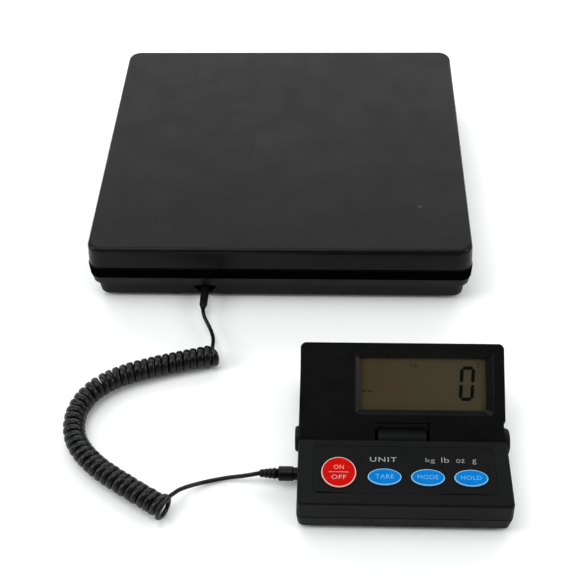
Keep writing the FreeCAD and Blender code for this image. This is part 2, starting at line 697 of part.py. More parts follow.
def unit_top_shell():
    """Key panel in front, a round seat for the hinge barrel, a low deck behind, two cheeks and a knuckle."""
    outer = tapered([
        unit_outline(0.4, UNIT_RADIUS - 0.4, PARTING),
        unit_outline(0.0, UNIT_RADIUS, PARTING + 0.4),
        unit_outline(0.6, UNIT_RADIUS, PANEL_TOP),
    ])
    outer = round_edges_at(outer, PANEL_TOP, PANEL_EDGE)
    above_deck = box(-60, 60, PANEL_DEPTH, 100, DECK_TOP, PANEL_TOP + 2)
    front_cavity = box(-INNER_HALF, INNER_HALF, 2.0, 36.2, PARTING - 1, PANEL_TOP - PANEL_PLATE)
    deck_cavity = box(-INNER_HALF, INNER_HALF, 36.2, UNIT_DEPTH - 2.0, PARTING - 1, DECK_TOP - DECK_PLATE)
    shell = cut(outer, above_deck, front_cavity, deck_cavity)
    trough = cut(hinge_rod(-INNER_HALF, INNER_HALF, SEAT_OUTER),
                 box(-60, 60, HINGE_Y - 3, 60, DECK_TOP, 40),
                 box(-60, 60, 30, HINGE_Y - 2, PANEL_TOP - 1, 40))
    below_parting = box(-60, 60, 30, 60, 0, PARTING)
    cheeks = [cut(hinge_rod(x0, x0 + SIDE_WALL, BARREL_RADIUS), below_parting)
              for x0 in (-UNIT_WIDTH / 2, INNER_HALF)]
    shell = joined(shell, trough)
    shell = cut(shell, hinge_rod(-INNER_HALF, INNER_HALF, SEAT_RADIUS))
    neck = box(-KNUCKLE_HALF, KNUCKLE_HALF, HINGE_Y - 4.0, HINGE_Y + 4.0, 8.6, HINGE_Z - 4.0)
    knuckle = hinge_rod(-KNUCKLE_HALF, KNUCKLE_HALF, KNUCKLE_RADIUS)
    pieces = [neck, knuckle] + cheeks
    bosses = []
    for x, y in UNIT_SCREW_SPOTS:
        top = PANEL_TOP - PANEL_PLATE + 0.5 if y < PANEL_DEPTH else DECK_TOP - DECK_PLATE + 0.5
        bosses.append(post(x, y, PARTING, top, 2.6))
    shell = joined(shell, *pieces, *bosses)
    x0, x1, y0, y1 = LABEL
    tools = [slab(x0, x1, y0, y1, PANEL_TOP - LABEL_DEPTH, PANEL_TOP + 1, 3.0)]
    for x, y, half_x, half_y in BUTTONS.values():
        tools.append(ellipse_post(x, y, half_x + BUTTON_GAP, half_y + BUTTON_GAP, PARTING, PANEL_TOP + 1))
    for x, y in UNIT_SCREW_SPOTS:
        depth = 20.0 if y < PANEL_DEPTH else 14.2
        tools.append(post(x, y, PARTING - 1, depth, 1.1))
    tools.append(hinge_rod(-60, 60, PIN_RADIUS))
    tools.append(box(-5.0, 5.0, HINGE_Y - 0.7, HINGE_Y + 0.7, 6.0, HINGE_Z))
    return cut(shell, *tools)


def hinge_pins():
    pins = []
    half = UNIT_WIDTH / 2
    for side in (-1, 1):
        cap_ends = sorted((side * half, side * (half + 1.5)))
        shaft_ends = sorted((side * half, side * (half - PIN_LENGTH)))
        cap = hinge_rod(cap_ends[0], cap_ends[1], 6.7)
        outer_edges = [e for e in cap.Edges if e.Curve.TypeId == "Part::GeomCircle"
                       and abs(abs(e.Curve.Center.x) - half - 1.5) < 1e-6]
        cap = cap.makeFillet(1.2, outer_edges)
        pins.append(joined(cap, hinge_rod(shaft_ends[0], shaft_ends[1], PIN_RADIUS)))
    return group(pins)


def keypad_label():
    x0, x1, y0, y1 = LABEL
    sheet = slab(x0 + 0.15, x1 - 0.15, y0 + 0.15, y1 - 0.15, PANEL_TOP - LABEL_DEPTH, PANEL_TOP - 0.05, 2.85)
    holes = [ellipse_post(x, y, a + BUTTON_GAP, b + BUTTON_GAP, PANEL_TOP - 2, PANEL_TOP + 1)
             for x, y, a, b in BUTTONS.values()]
    return cut(sheet, *holes)


def button_cap(x, y, half_x, half_y):
    """A cap with a flange under the panel and a stem that stands on the dome."""
    top = ellipse_post(x, y, half_x, half_y, 20.6, BUTTON_TOP)
    top = round_edges_at(top, BUTTON_TOP, 0.5)
    flange = ellipse_post(x, y, half_x + 1.4, half_y + 1.4, 20.6, 21.7)
    stem = post(x, y, BUTTON_BOTTOM, 20.6, 2.0)
    return joined(top, flange, stem)


def key_dome(x, y):
    skirt = Part.makeCone(4.2, 3.0, BUTTON_BOTTOM - MAT_TOP, Vec(x, y, MAT_TOP))
    hollow = Part.makeCone(3.4, 2.2, BUTTON_BOTTOM - MAT_TOP - 1.2, Vec(x, y, MAT_TOP))
    return cut(skirt, hollow)


def key_mat():
    return slab(-43.0, 43.0, 9.0, 29.0, BOARD_TOP, MAT_TOP, 3.0)


def main_board():
    x0, x1, y0, y1 = BOARD
    return box(x0, x1, y0, y1, BOARD_BOTTOM, BOARD_TOP)


def board_components():
    chips = [box(-12.0, -2.0, 14.0, 24.0, BOARD_BOTTOM - 1.6, BOARD_BOTTOM),
             box(12.0, 22.0, 20.0, 26.0, BOARD_BOTTOM - 1.6, BOARD_BOTTOM),
             box(-24.0, -18.0, 12.0, 14.5, BOARD_BOTTOM - 2.5, BOARD_BOTTOM),
             box(10.0, 12.0, 10.0, 11.5, BOARD_BOTTOM - 0.9, BOARD_BOTTOM),
             box(15.0, 17.0, 10.0, 11.5, BOARD_BOTTOM - 0.9, BOARD_BOTTOM)]
    chips.append(post(26.0, 14.0, BOARD_BOTTOM - 6.0, BOARD_BOTTOM, 2.5))
    return group(chips)


def sounder():
    can = post(40.0, 22.0, BOARD_BOTTOM - 5.0, BOARD_BOTTOM, 4.5)
    return cut(can, post(40.0, 22.0, BOARD_BOTTOM - 6.0, BOARD_BOTTOM - 4.0, 0.8))


def cord_jack():
    y = PLUG_Y - DISPLAY_FRONT_Y
    block = box(-INNER_HALF + 0.2, -38.5, y - 3.6, y + 3.6, 4.0, BOARD_BOTTOM)
    return cut(block, rod_x(-INNER_HALF - 1, -39.5, y, PLUG_Z, JACK_BORE))


def flex_strip():
    foot = box(-4.5, 4.5, 31.5, 34.0, 9.4, BOARD_BOTTOM)
    run = box(-4.5, 4.5, 31.5, HINGE_Y + 0.25, 7.1, 7.6)
    riser = box(-4.5, 4.5, 31.5, 32.0, 7.1, 9.4)
    upright = box(-4.5, 4.5, HINGE_Y - 0.25, HINGE_Y + 0.25, 7.1, HINGE_Z - PIN_RADIUS)
    return joined(foot, riser, run, upright)


def battery_cells():
    cells = []
    rest = DOOR_TOP + 0.1 + CELL_RADIUS
    for number, y in enumerate(BAY_ROWS):
        start = -BAY_HALF + 0.5 + 3.2
        for place in range(2):
            x0 = start + place * CELL_LENGTH
            can = rod_x(x0, x0 + CELL_LENGTH - 1.0, y, rest, CELL_RADIUS)
            nub = rod_x(x0 + CELL_LENGTH - 1.0, x0 + CELL_LENGTH, y, rest, 1.9)
            cell = joined(can, nub)
            if number == 1:
                cell.rotate(Vec(0, y, rest), Z_AXIS, 180)
            cells.append(cell)
    return group(cells)


def battery_contacts():
    """A conical spring and a flat contact at the ends of each row, on plates."""
    rest = DOOR_TOP + 0.1 + CELL_RADIUS
    plates = []
    for number, y in enumerate(BAY_ROWS):
        side = 1 if number == 0 else -1
        spring_plate_x = sorted((-side * BAY_HALF, -side * (BAY_HALF - 0.5)))
        flat_plate_x = sorted((side * BAY_HALF, side * (BAY_HALF - 0.5)))
        plate = box(spring_plate_x[0], spring_plate_x[1], y - 5.0, y + 5.0, 3.2, 12.4)
        coil = Part.makeCone(4.2, 2.6, 3.2, Vec(-side * (BAY_HALF - 0.5), y, rest), Vec(side, 0, 0))
        hollow = Part.makeCone(3.6, 2.0, 3.2, Vec(-side * (BAY_HALF - 0.5), y, rest), Vec(side, 0, 0))
        plates.append(joined(plate, cut(coil, hollow)))
        plates.append(box(flat_plate_x[0], flat_plate_x[1], y - 5.0, y + 5.0, 3.2, 12.4))
    return group(plates)


def battery_door():
    plate = box(-DOOR_HALF, DOOR_HALF, DOOR_FRONT, DOOR_REAR, UNIT_BOTTOM, DOOR_TOP)
    tongues = box(-TONGUE_HALF, TONGUE_HALF, DOOR_FRONT, DOOR_REAR - 8.0, TONGUE_BOTTOM, DOOR_TOP)
    grips = [box(-9.0, 9.0, y, y + 1.2, 0, UNIT_BOTTOM + 0.5) for y in (80.0, 82.6, 85.2)]
    return cut(joined(plate, tongues), *grips)


def unit_feet():
    return group([post(x, y, 0, UNIT_BOTTOM + 0.6, radius) for x, y, radius in UNIT_FOOT_SPOTS])


def unit_screws():
    screws = []
    for x, y in UNIT_SCREW_SPOTS:
        tip = 18.5 if y < PANEL_DEPTH else 13.8
        head = post(x, y, UNIT_BOTTOM + 0.3, UNIT_FLOOR_TOP - 0.2, 1.95)
        screws.append(joined(head, post(x, y, UNIT_FLOOR_TOP - 0.2, tip, 1.1)))
    return group(screws)


# ================= display head =================

def head_front_bezel():
    plate_start = HEAD_ROOT_END - 0.6
    plate = slab(-HEAD_HALF, HEAD_HALF, plate_start, HEAD_REAR, HEAD_PARTING, PANEL_TOP, HEAD_RADIUS)
    bridge = box(-HEAD_ROOT_HALF, HEAD_ROOT_HALF, HINGE_Y, HEAD_ROOT_END + 5.0, HEAD_PARTING, PANEL_TOP)
    slab_part = joined(plate, bridge)
    root = box(-HEAD_ROOT_HALF, HEAD_ROOT_HALF, HINGE_Y, HEAD_ROOT_END, HEAD_BACK, PANEL_TOP)
    solid = joined(slab_part, root, hinge_rod(-HEAD_ROOT_HALF, HEAD_ROOT_HALF, BARREL_RADIUS))
    pocket = slab(-HEAD_HALF + 1.6, HEAD_HALF - 1.6, 53.1, HEAD_REAR - 1.6, HEAD_PARTING - 1,
                  PANEL_TOP - HEAD_FACE_PLATE, 2.0)
    solid = cut(solid, pocket)
    bosses = [post(x, y, HEAD_PARTING, PANEL_TOP - 1.0, 2.2) for x, y in HEAD_SCREW_SPOTS]
    solid = joined(solid, *bosses)
    lip = tapered([(*WINDOW, 0.8, PANEL_TOP - LIP_DEPTH), (*LIP, 2.0, PANEL_TOP + 0.001)])
    opening = slab(*WINDOW, PANEL_TOP - 4, PANEL_TOP - LIP_DEPTH + 0.01, 0.8)
    notch = box(-NOTCH_HALF, NOTCH_HALF, 30, NOTCH_END, 5, PANEL_TOP + 1)
    tools = [lip, opening, notch]
    for side in (-1, 1):
        ends = sorted((side * 60.0, side * (UNIT_WIDTH / 2 - PIN_LENGTH - 0.4)))
        tools.append(hinge_rod(ends[0], ends[1], PIN_RADIUS + 0.05))
        inner_ends = sorted((side * (NOTCH_HALF - 1), side * (NOTCH_HALF + 14.0)))
        tools.append(hinge_rod(inner_ends[0], inner_ends[1], 4.0))
    for x, y in HEAD_SCREW_SPOTS:
        tools.append(post(x, y, HEAD_PARTING - 1, PANEL_TOP - 2.2, 0.9))
    return cut(solid, *tools)


def head_back_cover():
    cover = slab(-HEAD_HALF, HEAD_HALF, HEAD_ROOT_END + 0.1, HEAD_REAR, HEAD_BACK, HEAD_PARTING, HEAD_RADIUS)
    cover = round_edges_at(cover, HEAD_BACK, 0.8)
    pocket = slab(-HEAD_HALF + 1.6, HEAD_HALF - 1.6, 53.1, HEAD_REAR - 1.6,
                  HEAD_BACK + HEAD_BACK_PLATE, HEAD_PARTING + 1, 2.0)
    cover = cut(cover, pocket)
    bosses = [post(x, y, HEAD_BACK + 1.0, HEAD_PARTING, 2.2) for x, y in HEAD_SCREW_SPOTS]
    cover = joined(cover, *bosses)
    tools = []
    for x, y in HEAD_SCREW_SPOTS:
        tools.append(post(x, y, HEAD_BACK - 1, HEAD_BACK + 1.3, 1.7))
        tools.append(post(x, y, HEAD_BACK - 1, HEAD_PARTING + 1, 0.9))
    return cut(cover, *tools)


def head_screws():
    screws = []
    for x, y in HEAD_SCREW_SPOTS:
        head = post(x, y, HEAD_BACK + 0.1, HEAD_BACK + 1.3, 1.65)
        screws.append(joined(head, post(x, y, HEAD_BACK + 1.3, PANEL_TOP - 2.4, 0.9)))
    return group(screws)


def lcd_window():
    top = PANEL_TOP - HEAD_FACE_PLATE
    return slab(WINDOW[0] - 2.6, WINDOW[1] + 2.6, WINDOW[2] - 2.6, WINDOW[3] + 2.6, top - 1.0, top, 1.0)


def lcd_glass():
    return box(WINDOW[0] - 2.0, WINDOW[1] + 2.0, WINDOW[2] - 2.2, WINDOW[3] + 2.2, 19.1, 21.1)


def lcd_reflector():
    return box(WINDOW[0] - 1.0, WINDOW[1] + 1.0, WINDOW[2] + 0.3, WINDOW[3] - 0.3, 18.8, 19.1)


def contact_strips():
    low = box(WINDOW[0] - 1.0, WINDOW[1] + 1.0, WINDOW[2] - 2.1, WINDOW[2] + 0.1, 18.4, 19.1)
    high = box(WINDOW[0] - 1.0, WINDOW[1] + 1.0, WINDOW[3] - 0.1, WINDOW[3] + 2.1, 18.4, 19.1)
    return group([low, high])


def head_board():
    return box(WINDOW[0] - 4.0, WINDOW[1] + 3.6, 54.4, 89.6, HEAD_BACK + HEAD_BACK_PLATE, 18.4)


PLATFORM_NODES = {
    "weighing_tray": weighing_tray(),
    "tray_support_frame": tray_support_frame(),
    "tray_screws": tray_screws(),
    "load_cell": load_cell(),
    "gauge_covers": gauge_covers(),
    "load_cell_upper_spacer": cell_spacer(1, CELL_BOTTOM + CELL_SIZE[2], FRAME_BOTTOM),
    "load_cell_lower_spacer": cell_spacer(-1, PLATE_TOP, CELL_BOTTOM),
    "load_cell_upper_bolts": upper_cell_bolts(),
    "load_cell_lower_bolts": lower_cell_bolts(),
    "base_plate": base_plate(),
    "base_rim": base_rim(),
    "base_pan": base_pan(),
    "base_screws": base_screws(),
    "overload_stops": overload_stops(),
    "platform_feet": platform_feet(),
}
for node_name, node_shape in PLATFORM_NODES.items():
    export(node_name, on_platform(node_shape))

coil = cord_tube("cord_coil", COIL_ROUTE, COIL_RADIUS)
export("cord_coil", coil)
boot = strain_relief_boot()
relief = plug_strain_relief()
export("cord_lead_base", cut(cord_tube("cord_lead_base", LEAD_BASE_ROUTE, WIRE_RADIUS), coil, boot))
display_lead = cord_tube("cord_lead_display", LEAD_DISPLAY_ROUTE, WIRE_RADIUS)
export("cord_lead_display", cut(display_lead, coil, relief))
export("inner_lead", cord_tube("inner_lead", INNER_LEAD_ROUTE, WIRE_RADIUS))
export("strain_relief_boot", boot)
export("plug_strain_relief", relief)
export("plug_body", plug_body())
export("plug_pin", plug_pin())
export("cable_clamp", cable_clamp())
export("cable_clamp_screws", cable_clamp_screws())

UNIT_NODES = {
    "unit_bottom_shell": unit_bottom_shell(),
    "unit_top_shell": unit_top_shell(),
    "hinge_pins": hinge_pins(),
    "keypad_label": keypad_label(),
    "key_mat": key_mat(),
    "main_board": main_board(),
    "board_components": board_components(),
    "sounder": sounder(),
    "cord_jack": cord_jack(),
    "flex_strip": flex_strip(),
    "battery_cells": battery_cells(),
    "battery_contacts": battery_contacts(),
    "battery_door": battery_door(),
    "unit_feet": unit_feet(),
    "unit_screws": unit_screws(),
}
for button, (button_x, button_y, button_half_x, button_half_y) in BUTTONS.items():
    UNIT_NODES[button + "_button"] = button_cap(button_x, button_y, button_half_x, button_half_y)
    UNIT_NODES[button + "_dome"] = key_dome(button_x, button_y)
for node_name, node_shape in UNIT_NODES.items():
    export(node_name, on_unit(node_shape))

HEAD_NODES = {
    "head_front_bezel": head_front_bezel(),
    "head_back_cover": head_back_cover(),
    "head_screws": head_screws(),
    "lcd_window": lcd_window(),
    "lcd_glass": lcd_glass(),
    "lcd_reflector": lcd_reflector(),
    "contact_strips": contact_strips(),
    "head_board": head_board(),
}
for node_name, node_shape in HEAD_NODES.items():
    export(node_name, on_head(node_shape))
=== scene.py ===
"""A platform shipping scale with a display unit on a curly cord: the looks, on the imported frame."""
import json
import math

import bmesh
import bpy
from mathutils import Matrix, Vector


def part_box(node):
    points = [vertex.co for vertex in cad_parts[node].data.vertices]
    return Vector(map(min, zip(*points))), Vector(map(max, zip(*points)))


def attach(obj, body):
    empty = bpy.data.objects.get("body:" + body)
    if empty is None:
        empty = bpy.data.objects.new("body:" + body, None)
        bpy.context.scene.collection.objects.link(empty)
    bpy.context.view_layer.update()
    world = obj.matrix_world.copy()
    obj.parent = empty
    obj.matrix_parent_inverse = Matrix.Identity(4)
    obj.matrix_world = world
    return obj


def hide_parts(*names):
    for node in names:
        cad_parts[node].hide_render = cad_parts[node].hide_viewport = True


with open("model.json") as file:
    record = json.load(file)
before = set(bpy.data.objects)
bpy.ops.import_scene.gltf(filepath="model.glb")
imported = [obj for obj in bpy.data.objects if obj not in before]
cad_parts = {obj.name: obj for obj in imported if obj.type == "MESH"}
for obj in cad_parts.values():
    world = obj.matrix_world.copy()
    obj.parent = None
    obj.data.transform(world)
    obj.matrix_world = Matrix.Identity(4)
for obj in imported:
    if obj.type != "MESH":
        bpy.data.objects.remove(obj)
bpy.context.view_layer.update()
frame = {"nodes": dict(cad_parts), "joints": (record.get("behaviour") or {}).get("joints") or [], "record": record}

NODES = frame["nodes"]
MM = 0.001


# ================= camera, light and floor =================

CAMERA_PLACE = Vector((0.0238, -0.4256, 0.4674))
CAMERA_AZIMUTH = math.radians(3.44)
CAMERA_ELEVATION = math.radians(48.36)
CAMERA_ROLL = math.radians(-2.1)
CAMERA_LENS = 63.42
CARD_DIRECTION = (0.0, -0.68, 0.733)
CARD_EDGE = (0.72, 0.90)
CARD_DIMMING = (1.0, 0.10)
WALL_STRENGTH = 0.75

camera_data = bpy.data.cameras.new("camera")
camera_data.lens = CAMERA_LENS
camera_data.sensor_width = 36.0
camera_data.clip_start = 0.01
camera = bpy.data.objects.new("camera", camera_data)
look_down = Matrix.Rotation(math.pi / 2 - CAMERA_ELEVATION, 4, "X") @ Matrix.Rotation(CAMERA_ROLL, 4, "Z")
turn = Matrix.Rotation(CAMERA_AZIMUTH, 4, "Z") @ look_down
camera.matrix_world = Matrix.Translation(CAMERA_PLACE) @ turn
bpy.context.scene.collection.objects.link(camera)
bpy.context.scene.camera = camera
bpy.context.scene.view_settings.view_transform = "Standard"


def area_light(name, place, target, size, power, colour=(1.0, 1.0, 1.0)):
    data = bpy.data.lights.new(name, "AREA")
    data.shape = "RECTANGLE"
    data.size, data.size_y = size
    data.energy = power
    data.color = colour
    light = bpy.data.objects.new(name, data)
    light.location = place
    light.rotation_euler = (Vector(target) - Vector(place)).to_track_quat("-Z", "Y").to_euler()
    bpy.context.scene.collection.objects.link(light)
    return light


area_light("back_soft_box", (0.0, 1.25, 0.88), (0.0, 0.05, 0.0), (2.2, 0.9), 16.0)
area_light("top_soft_box", (-0.3, -0.1, 1.6), (0.0, 0.0, 0.0), (1.0, 1.0), 10.5)
area_light("left_soft_box", (-1.3, -0.3, 0.9), (0.0, -0.05, 0.0), (0.45, 0.7), 7.0)
area_light("right_soft_box", (1.3, -0.3, 0.9), (0.0, -0.05, 0.0), (0.45, 0.7), 6.0)


def studio_world():
    """Pale walls all round, with a dark card above and behind the photographer."""
    world = bpy.data.worlds.new("studio")
    world.use_nodes = True
    nodes, links = world.node_tree.nodes, world.node_tree.links
    direction = nodes.new("ShaderNodeTexCoord").outputs["Generated"]
    towards = nodes.new("ShaderNodeVectorMath")
    towards.operation = "DOT_PRODUCT"
    towards.inputs[1].default_value = CARD_DIRECTION
    links.new(direction, towards.inputs[0])
    card = nodes.new("ShaderNodeMapRange")
    card.clamp = True
    card.interpolation_type = "SMOOTHSTEP"
    for index, number in enumerate(CARD_EDGE + CARD_DIMMING):
        card.inputs[index + 1].default_value = number
    links.new(towards.outputs["Value"], card.inputs[0])
    strength = nodes.new("ShaderNodeMath")
    strength.operation = "MULTIPLY"
    strength.inputs[1].default_value = WALL_STRENGTH
    links.new(card.outputs[0], strength.inputs[0])
    nodes["Background"].inputs["Color"].default_value = (0.98, 0.99, 1.0, 1.0)
    links.new(strength.outputs[0], nodes["Background"].inputs["Strength"])
    bpy.context.scene.world = world


studio_world()


# ================= small helpers =================

def new_object(name, data):
    piece = bpy.data.objects.new(name, data)
    bpy.context.scene.collection.objects.link(piece)
    return piece


def finish_piece(piece, body, material):
    piece.data.materials.clear()
    piece.data.materials.append(material)
    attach(piece, body)
    return piece


def mesh_piece(name, vertices, faces, body, material, smooth=False):
    mesh = bpy.data.meshes.new(name)
    mesh.from_pydata([tuple(v) for v in vertices], [], faces)
    shell = bmesh.new()
    shell.from_mesh(mesh)
    bmesh.ops.recalc_face_normals(shell, faces=shell.faces)
    shell.to_mesh(mesh)
    shell.free()
    for polygon in mesh.polygons:
        polygon.use_smooth = smooth
    piece = new_object(name, mesh)
    return finish_piece(piece, body, material)


def turned(profile, steps, place):
    """Vertices and faces of a closed profile of (along, radius) turned about the X axis, at place."""
    vertices, faces = [], []
    count = len(profile)
    for step in range(steps):
        angle = 2 * math.pi * step / steps
        for along, radius in profile:
            vertices.append(place @ Vector((along, radius * math.cos(angle), radius * math.sin(angle))))
    for step in range(steps):
        after = (step + 1) % steps
        for i in range(count - 1):
            faces.append((step * count + i, step * count + i + 1, after * count + i + 1, after * count + i))
    faces.append([step * count for step in range(steps)])
    faces.append([step * count + count - 1 for step in reversed(range(steps))])
    return vertices, faces


def rounded_loop(low, high, radius, z, steps=8):
    """Points round a rectangle with rounded corners, at height z."""
    corners = ((high[0] - radius, low[1] + radius, -90), (high[0] - radius, high[1] - radius, 0),
               (low[0] + radius, high[1] - radius, 90), (low[0] + radius, low[1] + radius, 180))
    loop = []
    for x, y, start in corners:
        for step in range(steps + 1):
            angle = math.radians(start + 90 * step / steps)
            loop.append(Vector((x + radius * math.cos(angle), y + radius * math.sin(angle), z)))
    return loop


def banded(loops, closed=True):
    """Vertices and faces of the skin between loops with equal numbers of points."""
    vertices = [point for loop in loops for point in loop]
    count = len(loops[0])
    faces = []
    for row in range(len(loops) - 1 + closed):
        other = (row + 1) % len(loops)
        for i in range(count):
            j = (i + 1) % count
            faces.append((row * count + i, row * count + j, other * count + j, other * count + i))
    return vertices, faces


def plates(outlines, z0, z1, place):
    """Flat plates from z0 to z1 with the given outlines, each a list of (x, y), at place."""
    vertices, faces = [], []
    for outline in outlines:
        base, count = len(vertices), len(outline)
        vertices += [place @ Vector((x, y, z0)) for x, y in outline]
        vertices += [place @ Vector((x, y, z1)) for x, y in outline]
        faces.append(list(range(base, base + count)))
        faces.append(list(range(base + count, base + 2 * count)))
        for i in range(count):
            j = (i + 1) % count
            faces.append((base + i, base + j, base + count + j, base + count + i))
    return vertices, faces


def lettering(name, words, centre, width, height, place, body, material, weight=0.0, spacing=1.0):
    """Printed words, as wide and as high as given, about centre on the plane z = 0 of place."""
    font = bpy.data.curves.new(name, "FONT")
    font.body = words
    font.size = 1.0
    font.extrude = 0.01
    font.offset = weight
    font.space_character = spacing
    font.resolution_u = 3
    holder = new_object(name, font)
    bpy.context.view_layer.update()
    mesh = bpy.data.meshes.new_from_object(holder)
    bpy.data.objects.remove(holder)
    xs = [v.co.x for v in mesh.vertices]
    ys = [v.co.y for v in mesh.vertices]
    middle = Vector(((min(xs) + max(xs)) / 2, (min(ys) + max(ys)) / 2, 0.01))
    stretch = Matrix.Diagonal((width / (max(xs) - min(xs)), height / (max(ys) - min(ys)), 1.5 * MM, 1.0))
    mesh.transform(place @ Matrix.Translation(Vector(centre)) @ stretch @ Matrix.Translation(-middle))
    return finish_piece(new_object(name, mesh), body, material)


# ================= materials =================

class Shader:
    """A Principled material that is built up node by node."""

    def __init__(self, name, colour, roughness, specular=0.5, metallic=0.0):
        self.material = bpy.data.materials.new(name)
        self.material.use_nodes = True
        self.tree = self.material.node_tree
        self.surface = self.tree.nodes["Principled BSDF"]
        self.surface.inputs["Base Color"].default_value = (*colour, 1.0)
        self.surface.inputs["Roughness"].default_value = roughness
        self.surface.inputs["Specular IOR Level"].default_value = specular
        self.surface.inputs["Metallic"].default_value = metallic
        self.coordinates = self.tree.nodes.new("ShaderNodeTexCoord").outputs["Object"]
        self.colour = None
        self.height = None
        self.plain_colour = colour

    def node(self, kind, **settings):
        node = self.tree.nodes.new(kind)
        for key, value in settings.items():
            setattr(node, key, value)
        return node

    def link(self, source, target):
        self.tree.links.new(source, target)

    def math(self, operation, first, second=None, clamp=False):
        node = self.node("ShaderNodeMath", operation=operation, use_clamp=clamp)
        for socket, value in zip(node.inputs, (first, second)):
            if value is None:
                continue
            if isinstance(value, (int, float)):
                socket.default_value = value
            else:
                self.link(value, socket)
        return node.outputs[0]

    def axis(self, letter):
        split = self.node("ShaderNodeSeparateXYZ")
        self.link(self.coordinates, split.inputs[0])
        return split.outputs[letter]

    def noise(self, scale, detail=2.0, roughness=0.5, stretch=None):
        node = self.node("ShaderNodeTexNoise")
        node.inputs["Scale"].default_value = scale
        node.inputs["Detail"].default_value = detail
        node.inputs["Roughness"].default_value = roughness
        source = self.coordinates
        if stretch is not None:
            mapping = self.node("ShaderNodeMapping")
            mapping.inputs["Scale"].default_value = stretch
            self.link(source, mapping.inputs["Vector"])
            source = mapping.outputs[0]
        self.link(source, node.inputs["Vector"])
        return node.outputs["Fac"]

    def ramp(self, value, low, high, out_low=0.0, out_high=1.0):
        node = self.node("ShaderNodeMapRange")
        node.clamp = True
        for index, number in enumerate((low, high, out_low, out_high)):
            node.inputs[index + 1].default_value = number
        self.link(value, node.inputs[0])
        return node.outputs[0]

    def tint(self, mask, colour):
        """The colour so far turns into another where the mask is 1."""
        mix = self.node("ShaderNodeMix", data_type="RGBA")
        self.link(mask, mix.inputs[0])
        if self.colour is None:
            mix.inputs[6].default_value = (*self.plain_colour, 1.0)
        else:
            self.link(self.colour, mix.inputs[6])
        mix.inputs[7].default_value = (*colour, 1.0)
        self.colour = mix.outputs[2]
        self.link(self.colour, self.surface.inputs["Base Color"])

    def roughen(self, value, low, high):
        """Roughness runs from low to high as the value goes from 0.3 to 0.7."""
        self.link(self.ramp(value, 0.3, 0.7, low, high), self.surface.inputs["Roughness"])

    def raise_by(self, value, strength, distance):
        bump = self.node("ShaderNodeBump")
        bump.inputs["Strength"].default_value = strength
        bump.inputs["Distance"].default_value = distance
        self.link(value, bump.inputs["Height"])
        if self.height is not None:
            self.link(self.height, bump.inputs["Normal"])
        self.height = bump.outputs[0]
        self.link(self.height, self.surface.inputs["Normal"])

    def disc(self, centre, inner, outer):
        """1 inside a circle about a vertical line through centre, fading from inner to outer."""
        flat_x = self.math("SUBTRACT", self.axis("X"), centre[0])
        flat_y = self.math("SUBTRACT", self.axis("Y"), centre[1])
        square_x = self.math("MULTIPLY", flat_x, flat_x)
        square_y = self.math("MULTIPLY", flat_y, flat_y)
        distance = self.math("SQRT", self.math("ADD", square_x, square_y))
        return self.ramp(distance, inner, outer, 1.0, 0.0)


def scaled(colour, factor):
    return tuple(min(1.0, channel * factor) for channel in colour)


def moulded(name, colour, roughness, specular, grain=1800.0, grain_depth=0.00006, dust=0.35):
    """Moulded plastic: spark-eroded grain, slow flow marks, and a little dust."""
    shader = Shader(name, colour, roughness, specular)
    shader.tint(shader.ramp(shader.noise(22.0, 3.0), 0.35, 0.7), scaled(colour, 1.35))
    shader.tint(shader.ramp(shader.noise(140.0, 2.0), 0.5, 0.8), scaled(colour, 0.7))
    specks = shader.ramp(shader.noise(900.0, 1.0, 0.4), 0.70, 0.78, 0.0, dust)
    shader.tint(specks, (0.06, 0.06, 0.06))
    shader.roughen(shader.noise(60.0, 4.0), roughness - 0.05, roughness + 0.06)
    shader.raise_by(shader.noise(grain, 2.0), 0.35, grain_depth)
    shader.raise_by(shader.noise(12.0, 1.0), 0.15, 0.0004)
    return shader


def rubber(name, colour, roughness, specular):
    shader = Shader(name, colour, roughness, specular)
    shader.tint(shader.ramp(shader.noise(260.0, 3.0), 0.45, 0.75), scaled(colour, 1.7))
    shader.tint(shader.ramp(shader.noise(1500.0, 1.0), 0.68, 0.78, 0.0, 0.2), (0.05, 0.05, 0.05))
    shader.roughen(shader.noise(400.0, 3.0), roughness - 0.07, roughness + 0.08)
    shader.raise_by(shader.noise(2600.0, 2.0), 0.3, 0.00004)
    return shader


def metal(name, colour, roughness, stretch):
    shader = Shader(name, colour, roughness, 0.5, 1.0)
    lines = shader.noise(900.0, 3.0, 0.6, stretch)
    shader.tint(shader.ramp(lines, 0.3, 0.7), scaled(colour, 0.75))
    shader.tint(shader.ramp(shader.noise(70.0, 4.0), 0.5, 0.75, 0.0, 0.6), scaled(colour, 0.62))
    shader.roughen(lines, roughness - 0.07, roughness + 0.12)
    shader.raise_by(lines, 0.25, 0.00005)
    return shader


def glossy(name, colour, roughness, specular=0.5):
    shader = Shader(name, colour, roughness, specular)
    shader.tint(shader.ramp(shader.noise(180.0, 2.0), 0.4, 0.75), scaled(colour, 0.86))
    shader.tint(shader.ramp(shader.noise(1200.0, 1.0), 0.72, 0.8, 0.0, 0.1), (0.45, 0.45, 0.45))
    shader.roughen(shader.noise(320.0, 3.0), roughness - 0.05, roughness + 0.08)
    shader.raise_by(shader.noise(520.0, 1.0), 0.2, 0.00005)
    return shader


